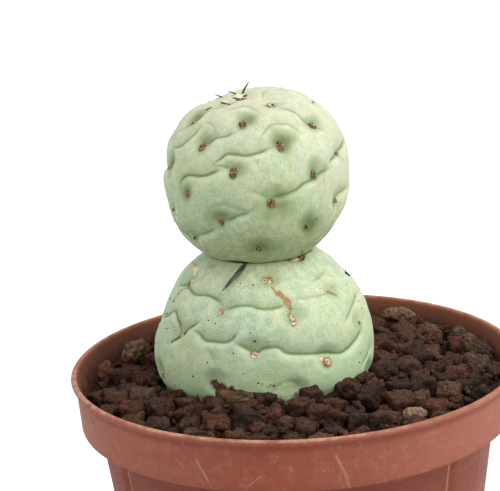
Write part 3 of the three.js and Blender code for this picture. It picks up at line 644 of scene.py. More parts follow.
# %% The height of the skin
DEFAULT_PAD = (0.5, 0.6)
DEFAULT_HOLLOW = (0, 0.5, 3.4, 3.4, 1.0)
SWELLING = 0.35
CREASE_ROUND = 0.12
# a full furrow's depth, how far it reaches above and below, and how wide its painted crease shade,
# overhang shade and lip highlight look
fold = {"full": 1.4, "above": 2.2, "below": 0.8, "crease": 0.32, "shade": 1.3, "lip": 1.0, "lip_wide": 0.6}
dimple = {"wide": 4.0, "tall": 3.8, "above": 1.2, "depth": 0.95, "pad": 0.35, "pad_radius": 0.9}
# painted light: the crown and this side are painted paler, by azimuth and elevation
LIT_SIDE = direction(78, 24)


def plain_radius(ball, ways):
    """The plain ball that a segment is raised from."""
    flat = np.hypot(ways[:, 0], ways[:, 1]) / ball["girth"]
    half = np.where(ways[:, 2] > 0, ball["rise"], ball["drop"])
    power = ball["squareness"]
    return (flat**power + (np.abs(ways[:, 2]) / half) ** power) ** (-1 / power)


def sides_of(way):
    """The level way to the right of an areole, and the way up the ball from it."""
    east = unit(np.array([-way[1], way[0], 0.0]))
    return east, np.cross(way, east)


def calm_of(ball, ways):
    """0 where the skin is smooth, under the segment or in the gravel, and 1 where it is folded."""
    elevation = np.degrees(np.arcsin(np.clip(ways[:, 2], -1, 1)))
    return smooth_step(ball["calm_below"], ball["calm_below"] + ball["calm_span"], elevation)


def raise_masks(masks, **values):
    """Lets each named mask rise to those values where it is lower."""
    for name, value in values.items():
        np.maximum(masks[name], value, out=masks[name])


def skin_of(ball, ways):
    """The height of the skin over the plain ball, and the masks that its finish needs."""
    places = ways * ball["girth"]
    masks = {name: np.zeros(len(ways)) for name in ("crease", "overhang", "lip", "hollow", "felt")}
    deepest = np.zeros(len(ways))
    wander = 0.22 * lumps(places, 3.1, 5)
    frayed = 0.2 * lumps(places, 2.3, 6)
    for marks in ball["marks"]:
        distance, above, nearest = from_marks(ball, marks, ways)
        depth = marks["depth"][nearest]
        soft = np.sqrt(distance**2 + CREASE_ROUND**2) - CREASE_ROUND
        reach = np.where(above, fold["above"], fold["below"])
        deepest = np.minimum(deepest, -ball["softened"] * depth * np.exp(-soft / reach))
        strength = depth / fold["full"]
        # painted shade in the crease and on the swell above it, and a painted highlight on the lip below it
        crease = strength * np.exp(-((distance / fold["crease"]) ** 2))
        lip = strength * np.exp(-(((distance - fold["lip"]) / fold["lip_wide"]) ** 2)) * ~above
        overhang = strength * np.exp(-distance / fold["shade"]) * above
        raise_masks(masks, crease=crease, lip=lip, overhang=overhang)
    dimples = np.zeros(len(ways))
    for number, way in ball["areoles"].items():
        wide, tall = ball["pads"].get(number, DEFAULT_PAD)
        east, north = sides_of(way)
        offset = (ways - way) * ball["girth"]
        across, up, distance = offset @ east, offset @ north, np.linalg.norm(offset, axis=1)
        near = distance < 3 * dimple["wide"]
        spread = (across / dimple["wide"]) ** 2 + ((up - dimple["above"]) / dimple["tall"]) ** 2
        pad = dimple["pad"] * np.exp(-((distance / dimple["pad_radius"]) ** 2))
        dimples += near * (pad - dimple["depth"] * (1 - np.minimum(1, spread)) ** 2)
        # painted shade round each areole, in and around its dimple
        aside, raised, dark_wide, dark_tall, strength = ball["hollows"].get(number, DEFAULT_HOLLOW)
        from_dark = np.hypot((across - aside) / dark_wide, (up - raised) / dark_tall) + frayed
        core = 0.7 * (1 - smooth_step(0.5, 1.2, distance / 1.9 + frayed))
        dark = near * strength * np.maximum(1 - smooth_step(0.1, 1.15, from_dark), core)
        out = np.where(near, np.hypot(across / (wide + 0.01), up / (tall + 0.01)), 9)
        felt = ball["felt"] * (1 - smooth_step(0.6, 1.75, out + 1.6 * wander))
        raise_masks(masks, hollow=ball["hollow"] * dark, felt=felt)
    for azimuth, elevation, radius, depth in ball["dents"]:
        distance = np.linalg.norm(ways - direction(azimuth, elevation), axis=1) * ball["girth"]
        dimples -= depth * np.exp(-((distance / radius) ** 2))
    calm = calm_of(ball, ways)
    soft_lumps = 0.16 * lumps(places, 6.5, 1) + 0.07 * lumps(places, 2.4, 2)
    fine = 0.018 * lumps(places, 0.7, 3)
    masks = {name: mask * calm for name, mask in masks.items()}
    high = ways[:, 2]
    # painted light: the foot of the lower segment is painted paler
    masks["foot"] = ball["foot_bloom"] * smooth_step(0.35, -0.15, high)
    # more bloom towards the top and the foot, partly real bloom and partly painted light
    masks["top"] = np.maximum(ball["top_bloom"] * smooth_step(-0.1, 0.95, high), masks["foot"])
    # painted light on the crown and on the lit side
    thick = np.maximum(smooth_step(0.1, 0.9, high), smooth_step(0.45, 1.0, ways @ LIT_SIDE))
    masks["crown"] = ball["shaded"] * thick
    # painted shade on the underside of the upper segment
    masks["under"] = ball["shaded"] * smooth_step(0.5, -0.85, high)
    return calm * (SWELLING + deepest + dimples + soft_lumps + fine), masks


# %% [markdown]
# A ball's net could come from rings and sectors, which crowd at the poles, or from a cube whose six square
# nets are blown up to a ball. The cube gives faces of nearly one size, so the furrows are equally sharp
# everywhere. The angles are divided evenly rather than the cube's edges, which evens the faces out further.

# %% A net over the ball
NET_FINENESS = 126


def cube_net(fineness):
    """Ways over a ball on six square nets that share their edges, and the four-cornered faces between."""
    steps = np.arange(fineness + 1)
    u, v = (grid.ravel() for grid in np.meshgrid(steps, steps, indexing="ij"))
    edge = np.full_like(u, fineness)
    zero = np.zeros_like(u)
    sides = [(edge, u, v), (zero, v, u), (v, edge, u), (u, zero, v), (u, v, edge), (v, u, zero)]
    lattice = np.vstack([np.column_stack(side) for side in sides])
    key = (lattice @ np.array([(fineness + 1) ** 2, fineness + 1, 1])).astype(np.int64)
    first, number = np.unique(key, return_index=True, return_inverse=True)[1:]
    angle = (lattice[first] / fineness - 0.5) * np.pi / 2
    ways = unit(np.tan(angle))
    corner = (steps[:-1, None] * (fineness + 1) + steps[None, :-1]).ravel()
    square = np.column_stack([corner, corner + fineness + 1, corner + fineness + 2, corner + 1])
    faces = np.vstack([number[square + side * len(u)] for side in range(6)])
    return ways, faces


net_ways, net_faces = cube_net(NET_FINENESS)
print(len(net_ways), "points and", len(net_faces), "faces in a ball's net")

# %% [markdown]
# Where the plant was once hurt or has aged, the skin is corky: a brown band runs down the shoulder of the
# lower segment, old areoles there are worn to tan scars, and rough white spots sit on the left flank. Each
# is a short route or an oval on the ball. Painting them would be quick, but they are slightly raised and
# rough, so they are both a mask for the finish and a little height.

# %% Corky scars
# half width in mm and route of each band, stain and rim, by azimuth and elevation
lower["cork"] = [
    (0.25, [(8.6, 47), (11, 44), (13, 42)]),
    (0.6, [(12.6, 43), (14, 41.8), (16.6, 39), (18, 36)]),
    (0.28, [(17.5, 38), (18.4, 35), (17.6, 32), (18.6, 29)]),
    (0.22, [(-63, 43), (-68, 37), (-70, 33)]),
    (0.6, [(48, 62), (56, 63), (64, 63.5), (76, 62.5)]),
]
lower["stain"] = [
    (0.8, [(-26, -2.6), (-24.5, -4), (-23, -6.5)]),
    (1.1, [(-24, -4.4), (-20, -5.2), (-16, -6.0), (-12, -6.8)]),
    (0.45, [(-19, -6.4), (-11, -7.0), (-3, -7.0)]),
    (0.22, [(-56, 14), (-52, 18), (-48, 21)]),
    (0.3, [(45, 60.5), (50, 60), (56, 61.5)]),
]
lower["rust"] = [
    (0.3, [(3.0, 52.4), (4.4, 53.7), (6.6, 53.5), (8.6, 54.0), (9.6, 52.6), (9.2, 50.4)]),
    (0.25, [(16.6, 31.5), (18.6, 31.2), (19.6, 28.6), (19.2, 26.8), (18, 26)]),
    (0.4, [(32.6, 5.0), (34.0, 5.9), (35.6, 5.3), (36.1, 3.4), (34.2, 2.2), (32.8, 3.0)]),
    (0.3, [(-6.2, 13.8), (-5.6, 14.9), (-4, 15.2), (-2.6, 14.4)]),
    (0.3, [(51.8, 38.6), (54, 37.6), (54.6, 35.6)]),
    (0.25, [(-26, 35.4), (-24.6, 35.6), (-24, 33.6)]),
]
# azimuth and elevation of each scar and scab, and half width and half height in mm
upper["tan_scar"] = [
    (-52, 80, 1.2, 0.9), (-74, 79, 0.9, 0.7), (-20, 78, 0.7, 0.6), (-44, 65.5, 0.9, 0.7), (-51, 66, 0.7, 0.6),
    (23, 59, 0.7, 0.7), (46, 26, 0.35, 0.3),
]
lower["tan_scar"] = [
    (4.6, 51.6, 0.85, 0.8), (7.4, 51.0, 0.8, 0.85), (17.8, 29, 0.7, 1.2), (-25, 34, 0.5, 0.7),
    (-4.3, 12.8, 0.7, 0.7), (34.5, 4, 0.8, 0.9), (31, 6.5, 0.6, 0.5), (-51, 18.5, 0.4, 0.5),
    (53, 37, 0.5, 0.7), (41.5, 62, 1.2, 0.75), (66, 17, 0.35, 0.6), (-72.5, 53, 0.9, 0.8),
    (-66, 47, 0.6, 0.6), (3, -2.5, 0.6, 0.35),
]
upper["scab"] = [
    (-61.0, -14, 0.5, 0.6), (-62, -18.5, 0.3, 0.5), (-55, -21, 0.2, 0.2), (-68, -24, 0.25, 0.3),
    (62, -12, 0.2, 0.4), (71, -15, 0.35, 0.3),
]
lower["scab"] = [
    (42.0, 41, 0.9, 0.55), (45.5, 43.0, 0.5, 0.6), (44, 39, 0.3, 0.3),
    (-70, 51, 0.7, 0.6), (-64, 45, 0.6, 0.4),
]


def oval_share(ball, ways, azimuth, elevation, wide, tall):
    """1 at the middle of an oval spot, 0 at its edge and below 0 outside it."""
    way = direction(azimuth, elevation)
    east, north = sides_of(way)
    offset = (ways - way) * ball["girth"]
    facing_it = ways @ way > 0.5
    return np.where(facing_it, 1 - np.hypot(offset @ east / wide, offset @ north / tall), -9)


def scars_of(ball, ways):
    """How far each point stands out for its scars, and the masks that the finish needs for them."""
    places = ways * ball["girth"]
    ragged = 0.45 * lumps(places, 0.9, 11) + 0.35 * lumps(places, 0.4, 12)
    masks = {name: np.zeros(len(ways)) for name in ("cork", "stain", "rust", "tan_scar", "scab")}
    for name in ("cork", "stain", "rust"):
        for width, route in ball.get(name, []):
            distance = from_marks(ball, marks_of(ball, 1.0, ways_along(route)), ways)[0]
            raise_masks(masks, **{name: smooth_step(-0.75, 0.45, 1 - distance / width + ragged)})
    for name in ("tan_scar", "scab"):
        for spot in ball[name]:
            share = oval_share(ball, ways, *spot) + 0.8 * ragged
            raise_masks(masks, **{name: smooth_step(-0.3, 0.35, share)})
    rough = 0.5 + 0.5 * lumps(places, 0.55, 13)
    raised = 0.25 * masks["cork"] + 0.3 * masks["tan_scar"] + 0.22 * masks["scab"]
    return raised * rough - 0.12 * masks["cork"], masks


# %% [markdown]
# The skin is pale and bloomed: a bluish green under a thin bloom of wax, yellower in soft patches. Over it
# lie painted light and shade: painted highlights on the lips of the furrows, on the crown, the right side and
# the lower segment's foot, and painted shade in the creases, above them, under the upper segment and, a deep
# olive, in the hollows round the areoles. A few clouds of noise mix the body colour, and the masks that came
# with the height lay the darker and the paler tones over it.

# %% The finish of the skin
# the tones of the underside, the fold above a furrow, its crease, the hollows and the deep hollows are
# painted shade, and those of the lip, the crown and the foot are painted light
skin_tones = {
    "body": rgb(164, 178, 138), "blue": rgb(151, 174, 142), "yellow": rgb(182, 185, 131),
    "bloom": rgb(207, 212, 188), "hollow": rgb(104, 124, 72), "deep": rgb(84, 90, 50),
    "under": rgb(124, 142, 90), "fold": rgb(124, 146, 101), "crease": rgb(78, 100, 55),
    "lip": rgb(200, 208, 180), "crown": rgb(190, 180, 161), "foot": rgb(186, 212, 165),
    "felt": rgb(118, 88, 60), "felt_dark": rgb(52, 34, 22), "tan": rgb(220, 202, 170),
    "tan_dark": rgb(132, 98, 66), "tan_shade": rgb(176, 146, 112),
    "cork": rgb(176, 138, 86), "cork_dark": rgb(102, 68, 35), "cork_edge": rgb(134, 118, 72),
    "stain": rgb(92, 56, 32), "stain_dark": rgb(46, 28, 17), "scab": rgb(214, 206, 182),
    "rust": rgb(164, 126, 84), "rust_dark": rgb(112, 78, 48),
}


def skin_finish():
    finish = Finish("cactus_skin", skin_tones, Roughness=0.6, Specular_IOR_Level=0.28)
    value = finish.value
    patches = finish.clouds(11.0, 2.0)
    mottle = finish.clouds(1.9, 4.0, 0.66)
    grain = finish.clouds(0.5, 3.0, 0.65)
    speckle = finish.clouds(0.24, 2.0, 0.6)
    fibres = finish.clouds(0.34, 3.0, 0.7)
    ragged = (grain - 0.5) * 0.5 + (mottle - 0.5) * 0.5
    hollow = value("hollow")
    finish.colour = finish.blend(patches.between(0.38, 0.62), "body", "blue")
    finish.lay(finish.clouds(7.0, 2.0).between(0.52, 0.7) * 0.6, "yellow")
    # painted shade under the upper segment
    finish.lay(value("under") * 0.8, "under")
    waxy = (mottle * 0.6 + grain * 0.5 - 0.05).between(0.36, 0.66)
    # the waxy bloom, laid thicker towards the top and the foot, partly as painted light
    finish.lay(waxy * (value("top") * 0.5 + 0.4), "bloom")
    # painted highlight on the crown and on the lit right side
    finish.lay(value("crown") * 0.45, "crown")
    # painted light at the foot of the lower segment
    finish.lay(value("foot") * (mottle + 0.3), "foot")
    finish.lay(speckle.between(0.56, 0.72) * 0.22, "hollow")
    # painted shade in the hollows round the areoles, a deep olive where it is darkest
    finish.lay(hollow * (ragged + 0.95), "hollow")
    finish.lay((hollow - 0.6).between(-0.1, 0.45) * 0.7, "deep")
    finish.lay(speckle.between(0.5, 0.62) * (hollow * 0.5 + 0.12), "hollow")
    # painted shade above each furrow and in its crease, and a painted highlight on its lip
    finish.lay(value("overhang") * 0.6, "fold")
    finish.lay(value("lip") * 0.25, "lip")
    finish.lay(value("crease") * 0.9, "crease")
    felt = finish.blend(fibres.between(0.4, 0.6), "felt_dark", "felt")
    finish.lay((value("felt") + ragged).between(0.3, 0.8) * 0.85, felt)
    rust = finish.blend(fibres.between(0.4, 0.6), "rust_dark", "rust")
    finish.lay((value("rust") + ragged * 0.9).between(0.15, 0.9) * 0.85, rust)
    stain = finish.blend(fibres.between(0.36, 0.62), "stain_dark", "stain")
    finish.lay((value("stain") + ragged * 1.5).between(0.1, 1.0), stain)
    finish.lay((value("cork") + ragged * 1.6).between(0.05, 0.9) * 0.65, "cork_edge")
    cork = finish.blend((fibres * 0.5 + mottle * 0.5).between(0.36, 0.6), "cork_dark", "cork")
    finish.lay((value("cork") + ragged * 2).between(0.35, 1.2), cork)
    finish.lay(value("tan_scar").between(0.0, 0.4) * grain.between(0.42, 0.58) * 0.7, "tan_dark")
    tan = finish.blend(fibres.between(0.28, 0.5), "tan_shade", "tan")
    finish.lay((value("tan_scar") + ragged).between(0.45, 0.85), tan)
    scab = finish.blend(fibres.between(0.36, 0.5), "tan_dark", "scab")
    finish.lay((value("scab") + ragged).between(0.4, 0.75), scab)
    finish.feed("Roughness", mottle * 0.2 + 0.52)
    return finish.done(grain * 0.7 + mottle * 0.8, 0.12)


cactus_skin = skin_finish()
print("the skin's finish has", len(cactus_skin.node_tree.nodes), "nodes")

# %% [markdown]
# The upper segment rests on the lower one's top, which has sunk to a shallow seat under it. The two could
# simply be let into each other, which would leave a hidden overlap. Instead each way out of the lower
# middle is followed to the upper ball's underside by halving the span, and the skin stops just short of it.

# %% The seat in the lower segment's top
seat = {"gap": 0.1, "open_gap": 0.2, "open_from": 8, "open_to": 13, "round": 0.8, "above": 33}
SEAT_HALVINGS = 24


def seat_radius(ways):
    """How far a way from the lower segment's middle gets before it meets the upper one's underside."""
    start = np.array(lower["centre"])
    middle = np.array(upper["centre"])
    inside = np.full(len(ways), np.linalg.norm(middle - start))
    outside = np.zeros(len(ways))
    for _ in range(SEAT_HALVINGS):
        reach = (inside + outside) / 2
        offset = start + ways * reach[:, None] - middle
        share = smooth_step(seat["open_from"], seat["open_to"], np.hypot(offset[:, 0], offset[:, 1]))
        gap = seat["gap"] + (seat["open_gap"] - seat["gap"]) * share
        clear = np.linalg.norm(offset, axis=1) > plain_radius(upper, unit(offset)) + gap
        outside = np.where(clear, reach, outside)
        inside = np.where(clear, inside, reach)
    return inside


def under_seat(ways, radius):
    """The radius, lowered where the upper segment rests."""
    high = ways[:, 2] > math.sin(math.radians(seat["above"]))
    limit = seat_radius(ways[high])
    blend = np.maximum(seat["round"] - np.abs(radius[high] - limit), 0) / seat["round"]
    lowered = radius.copy()
    lowered[high] = np.minimum(radius[high], limit) - blend**2 * seat["round"] / 4
    return lowered


# %% [markdown]
# With the net, the height, the finish and the seat in hand, a segment is quickly made: each point of the
# net is pushed out to the ball plus the height of its skin and its scars. One function does it for any ways
# from the middle, so that spines, felt and crumbs can later be set on the very same skin.

# %% The two segments
def finished_skin(ball, ways):
    """Points on the finished skin, and the masks that its finish reads."""
    height, masks = skin_of(ball, ways)
    scar_height, scars = scars_of(ball, ways)
    radius = plain_radius(ball, ways) + height + scar_height
    if ball is lower:
        radius = under_seat(ways, radius)
    return np.array(ball["centre"]) + ways * radius[:, None], {**masks, **scars}


for name, ball in (("upper_stem", upper), ("lower_stem", lower)):
    points, masks = finished_skin(ball, net_ways)
    add_piece(name, points, net_faces, masks, cactus_skin, "cactus_skin", ball["node"])

# %% [markdown]
# Crushed stone breaks along flat faces, and its edges wear round. A stone could be carved from a cube by
# random cuts, but a ball that is pressed against the same few planes gives the same form with an even net:
# its radius is the nearest plane's, with the corners rounded by blending planes that are almost equally
# near. Lumps and pores are then pushed into it, and each stone keeps a tone of its own for the finish.

# %% Stone forms
crushed = {"planes": 11, "nearest": 0.72, "spread": 0.26, "uncut": 1.08, "facing": 0.2}
EDGE_SHARPNESS = 16.0


def ball_net(fineness):
    """Ways over a ball on twenty triangles, each split that many times along its side, and the faces."""
    golden = (1 + 5**0.5) / 2
    first = [(0, s, t * golden) for s in (1, -1) for t in (1, -1)]
    corners = np.array([*first, *((y, z, x) for x, y, z in first), *((z, x, y) for x, y, z in first)], float)
    side = 2.01
    near = np.linalg.norm(corners[:, None] - corners[None], axis=2) < side
    triangles = [t for t in itertools.combinations(range(12), 3) if near[np.ix_(t, t)].all()]
    points, faces = [], []
    for a, b, c in triangles:
        if np.linalg.det(corners[[a, b, c]]) < 0:
            b, c = c, b
        start = len(points)
        rows = {}
        for i in range(fineness + 1):
            for j in range(fineness + 1 - i):
                rows[i, j] = start + len(rows)
                points.append(corners[a] * (fineness - i - j) + corners[b] * i + corners[c] * j)
        for i in range(fineness):
            for j in range(fineness - i):
                faces.append((rows[i, j], rows[i + 1, j], rows[i, j + 1]))
                if i + j < fineness - 1:
                    faces.append((rows[i + 1, j], rows[i + 1, j + 1], rows[i, j + 1]))
    ways = unit(np.array(points))
    first, number = np.unique(ways.round(5), axis=0, return_index=True, return_inverse=True)[1:]
    return ways[first], number.ravel()[np.array(faces)]


def pressed(ways, normals, distances, uncut, sharpness=EDGE_SHARPNESS):
    """The radius of a ball pressed against planes, with its edges a little rounded."""
    facing_planes = ways @ normals.T
    radius = np.where(facing_planes > crushed["facing"], distances / np.maximum(facing_planes, 1e-6), uncut)
    radius = np.minimum(radius, uncut)
    return -np.log(np.exp(-sharpness * radius).mean(axis=1) + 1e-12) / sharpness


def crushed_planes(seed):
    """The planes of a crushed stone, drawn as in the part's source."""
    draw = draws(seed)
    normals, distances = [], []
    for _ in range(crushed["planes"]):
        up = 2 * draw() - 1
        angle = 2 * math.pi * draw()
        flat = math.sqrt(1 - up * up)
        normals.append((flat * math.cos(angle), flat * math.sin(angle), up))
        distances.append(crushed["nearest"] + crushed["spread"] * draw())
    return np.array(normals), np.array(distances)


def turned(points, degrees, axis="z"):
    """Points turned about an axis through the origin."""
    c, s = math.cos(math.radians(degrees)), math.sin(math.radians(degrees))
    rows = {"z": [[c, s, 0], [-s, c, 0], [0, 0, 1]], "x": [[1, 0, 0], [0, c, s], [0, -s, c]]}
    return points @ np.array(rows[axis])


def weathered(points, ways, size, seed, rough):
    """Pushes lumps and pores into a stone, by shares of its size."""
    coarse = 0.09 * lumps(points, size * 0.75, seed)
    middle = 0.065 * lumps(points, size * 0.28, seed + 1)
    pores = np.maximum(lumps(points, size * 0.17, seed + 2) - 0.1, 0)
    return points + ways * (size * rough * (coarse + middle - 0.12 * pores))[:, None]


stone_net = ball_net(16)
print(len(stone_net[1]), "faces in a loose stone's net")

# %% [markdown]
# The loose stones keep the solids' own planes. Their finish and that of the gravel are alike: a dull, dusty
# surface whose tone changes over a few tenths of a millimetre, with painted shade in its pores, and paler on
# what faces up, partly dust and partly a painted highlight. One function makes it, from two tones, for each
# kind of stone.

# %% The finish of stone, and the loose stones
STONE_FIELDS = ("at", "half", "turn", "seed", "tone")
stone_rows = {
    "pale_tan": ((26.8, 37.2, 87.5), (5.4, 2.7, 2.4), -14, 11, rgb(104, 82, 68)),
    "block": ((33.2, 22.0, 86.4), (4.6, 3.6, 3.7), 20, 12, rgb(80, 58, 46)),
    "grey": ((40.6, 21.4, 86.0), (2.9, 2.7, 3.0), 75, 13, rgb(74, 62, 54)),
    "tall": ((42.0, 11.0, 87.0), (2.7, 2.5, 4.3), 40, 14, rgb(84, 63, 50)),
    "grey_brown": ((-39.4, 21.4, 86.2), (4.8, 3.3, 3.8), 28, 15, rgb(100, 78, 64)),
    "red_porous": ((-45.6, 8.8, 85.4), (2.4, 3.3, 4.2), -12, 16, rgb(86, 53, 45)),
    "ochre": ((-44.0, -0.8, 83.4), (2.4, 2.3, 1.8), 15, 17, rgb(88, 62, 43)),
    "dark": ((12.2, -17.0, 87.7), (4.0, 3.1, 3.0), -18, 18, rgb(54, 38, 32)),
    "light_tan": ((25.7, -28.6, 85.4), (3.3, 2.3, 2.3), 10, 19, rgb(122, 99, 84)),
}
loose_stones = {name: dict(zip(STONE_FIELDS, row)) for name, row in stone_rows.items()}
stone_slots = {sub["node"]: sub["material_slot"] for sub in frame["record"]["subparts"]}
stone_tones = {"dust_and_highlight": rgb(150, 128, 108), "pore_shade": rgb(16, 10, 8)}
DARKER = (0.45, 0.42, 0.42, 1)
LIGHTER = (1.75, 1.65, 1.6, 1)


def stone_finish(name, tone, porous):
    """Dull stone of one tone, or of the tones that the mesh holds."""
    finish = Finish(name, stone_tones, Roughness=0.95, Specular_IOR_Level=0.06)
    broad = finish.clouds(2.4, 2.0)
    middle = finish.clouds(0.75, 5.0, 0.72)
    fine = finish.clouds(0.24, 3.0, 0.7)
    plain = finish.value("tone", "Color") if tone is None else tone
    darker, lighter = (finish.blend(1.0, plain, shade, "MULTIPLY") for shade in (DARKER, LIGHTER))
    mixed = middle * 0.7 + broad * 0.25 + fine * 0.35 - 0.15
    finish.colour = finish.blend(mixed.between(0.34, 0.66), darker, lighter)
    # painted shade in the pores
    pores = 1 - finish.pits(0.75).between(0.06, 0.32)
    finish.lay(pores * porous, "pore_shade")
    # dust on what faces up, which is also a painted highlight
    finish.lay(finish.upward().between(0.2, 1.0) * fine.between(0.45, 0.75) * 0.3, "dust_and_highlight")
    return finish.done(middle * 0.8 + fine * 0.6 - pores * 0.6, 0.26)


def loose_stone(stone):
    """The points of one loose stone, from the same planes as its solid."""
    ways, faces = stone_net
    radius = pressed(ways, *crushed_planes(stone["seed"]), crushed["uncut"], 34.0)
    points = ways * radius[:, None] * stone["half"]
    points = weathered(points, ways, sum(stone["half"]) / 3, stone["seed"], 1.5)
    return turned(points, stone["turn"]) + stone["at"], faces


for name, stone in loose_stones.items():
    node = "stone_" + name
    material = stone_finish("finish_" + name, stone["tone"], 0.6)
    add_piece("loose_" + name, *loose_stone(stone), {}, material, stone_slots[node], node)

# %% [markdown]
# The gravel is crushed lava, and the solid holds its larger grains as blocks with their corners drawn in.
# The same draws give the same blocks here, and a finer grain is a ball pressed against the twelve faces of
# its block. Between them lie small chips. They could be dropped by a simulation, but a height map of the
# big grains shows where the gaps are, and a chip is simply laid in the lowest of a few places that are
# tried.

# %% Where the gravel lies
gravel = {
    "level": 83.6, "mound_height": 2.1, "mound_reach": 12, "tilt_right": 0.02, "places": 190, "grain": 2.65,
    "scatter": 1.6, "tipping": 60, "lift": 1.1, "wall_margin": 1.2, "stem_margin": 1.5, "loose_margin": 4.2,
    "seed": 20261,
    # places where it lies lower: x, y, half width, half depth and by how much
    "lows": [(-11, -20, 7, 3, 1.4), (42, 5, 5, 4, 1.5), (33, 16, 6, 4, 1.5), (-46, 2.5, 5, 5, 2),
             (-38.5, 14.5, 6, 5, 2), (26, -34, 4, 3, 1.5)],
}
pot = {
    "height": 90, "rim": 52.5, "wall": 1.3, "bead_height": 1.6, "bead_proud": 1.1, "band_height": 12.2,
    "band_low": 50.7, "step": 46.3, "foot": 35.9, "foot_width": 4.5, "foot_recess": 1.6,
    "rib_height": 0.8, "rib_width": 16, "ribs": (54, 174, 294),
    "holes": 6, "hole_radius": 4, "hole_circle": 23,
}
BAND_INSIDE = pot["band_low"] - pot["wall"]
GOLDEN_ANGLE = 180 * (3 - math.sqrt(5))
BOX_CORNERS = (
    (1, 1, 1), (1, 1, -1), (1, -1, 1), (1, -1, -1), (-1, 1, -1), (-1, 1, 1), (-1, -1, -1), (-1, -1, 1),
)
BOX_SIDES = ((0, 1, 3, 2), (4, 5, 7, 6), (5, 4, 1, 0), (6, 7, 2, 3), (5, 0, 2, 7), (1, 4, 6, 3))


def from_stem(x, y):
    """How far from the plant's axis a place lies."""
    return np.hypot(x - lower["centre"][0], y - lower["centre"][1])


def gravel_height(x, y):
    """The height of the gravel: a low mound against the plant, and a little higher on the right."""
    clear = np.maximum(0, from_stem(x, y) - lower["girth"])
    mound = gravel["mound_height"] * np.exp(-clear / gravel["mound_reach"])
    return gravel["level"] + gravel["tilt_right"] * x + mound


def lowered_by(x, y):
    """How much lower the grains lie before a stone or the knob, so that they don't hide it."""
    for low_x, low_y, wide, deep, by in gravel["lows"]:
        if math.hypot((x - low_x) / wide, (y - low_y) / deep) < 1:
            return by
    return 0


def grain_places():
    """The big grains of the covering layer: where each lies, how it is turned and its eight corners."""
    draw = draws(gravel["seed"])
    stones = np.array([stone["at"] for stone in loose_stones.values()])
    grains = []
    for index in range(gravel["places"]):
        reach = (BAND_INSIDE - gravel["wall_margin"]) * math.sqrt((index + 0.5) / gravel["places"])
        angle = math.radians(index * GOLDEN_ANGLE)
        x = reach * math.cos(angle) + gravel["scatter"] * (draw() - 0.5)
        y = reach * math.sin(angle) + gravel["scatter"] * (draw() - 0.5)
        size = gravel["grain"] * (0.8 + 0.5 * draw())
        half = (size * (1 + 0.25 * draw()), size, size * (0.8 + 0.25 * draw()))
        turn = 360 * draw()
        tip = gravel["tipping"] * (draw() - 0.5)
        lift = gravel["lift"] * (draw() - 0.5)
        corners = [[side * long * (least + (1 - least) * draw()) for side, long, least in
                    zip(corner, half, (0.5, 0.5, 0.6))] for corner in BOX_CORNERS]
        from_stones = np.hypot(x - stones[:, 0], y - stones[:, 1]).min()
        clear = from_stem(x, y) > lower["girth"] - gravel["stem_margin"]
        if clear and from_stones > gravel["loose_margin"]:
            at = np.array([x, y, gravel_height(x, y) + lift - lowered_by(x, y)])
            grains.append({"at": at, "size": size, "turn": turn, "tip": tip, "corners": np.array(corners)})
    return grains


big_grains = grain_places()
print(len(big_grains), "big grains")

# %% [markdown]
# Each big grain is a ball pressed against the planes of its own block, then weathered, and all of them are
# one mesh, because a piece for each would be hundreds. A grain keeps its tone as a colour of its points, so
# one finish serves them all. Most tones are drawn, and a few at the front are those that the photograph
# shows.

# %% The big grains
# how often a tone comes up, and the tone
grain_tones = [
    (34, rgb(54, 37, 31)), (24, rgb(61, 40, 32)), (18, rgb(46, 34, 30)), (10, rgb(70, 43, 34)),
    (8, rgb(62, 46, 38)), (5, rgb(40, 30, 26)), (3, rgb(72, 51, 40)), (2, rgb(72, 59, 50)),
]
# places where the photograph shows a grain of its own tone
own_tones = [
    (-40.8, 1.7, rgb(60, 43, 36)), (-31.5, -13.4, rgb(70, 59, 51)), (-25.6, -17.6, rgb(60, 41, 34)),
    (-15.3, -29.1, rgb(72, 46, 35)), (-19.0, -31.5, rgb(62, 53, 48)), (-6.4, -24.6, rgb(68, 42, 34)),
    (-6.0, -20.5, rgb(80, 45, 36)), (0.6, -21.5, rgb(64, 42, 35)), (47.2, 15.1, rgb(60, 46, 39)),
    (4.7, -29.5, rgb(58, 40, 33)),
]
OWN_TONE_REACH = 2.6
grain_net = ball_net(8)
grain_draw = draws(404)


def picked(tones, draw):
    """A tone drawn by its weight."""
    pick = draw() * sum(weight for weight, _ in tones)
    for weight, tone in tones:
        pick -= weight
        if pick <= 0:
            break
    return tone


def drawn_tone(at):
    """A grain's tone: the photograph's where it shows one, or else a drawn one."""
    for x, y, tone in own_tones:
        if math.hypot(at[0] - x, at[1] - y) < OWN_TONE_REACH:
            return tone
    tone = picked(grain_tones, grain_draw)
    shade = 0.8 + 0.4 * grain_draw()
    return (tone[0] * shade, tone[1] * shade, tone[2] * shade, 1.0)


def block_planes(corners):
    """The planes of the twelve triangles of a block with drawn-in corners."""
    normals, distances = [], []
    for a, b, c, d in BOX_SIDES:
        for p, q, r in ((a, b, c), (a, c, d)):
            normal = unit(np.cross(corners[q] - corners[p], corners[r] - corners[p]))
            distance = normal @ corners[p]
            normals.append(normal * np.sign(distance))
            distances.append(abs(distance))
    return np.array(normals), np.array(distances)


def kept_inside(points):
    """Presses what would cross the pot's wall against its inside."""
    reach = np.hypot(points[:, 0], points[:, 1])
    share = np.minimum(1, (BAND_INSIDE - 0.3) / np.maximum(reach, 1e-6))
    return points * np.column_stack([share, share, np.ones(len(points))])


def grain_points(grain, ways, seed):
    """A fine grain within its block."""
    size = grain["size"]
    normals, distances = block_planes(grain["corners"] / size)
    radius = pressed(ways, normals, distances, 1.6, 11.0)
    points = weathered(ways * (radius * size)[:, None], ways, size, seed, 2.0)
    return kept_inside(turned(turned(points, grain["tip"], "x"), grain["turn"]) + grain["at"])


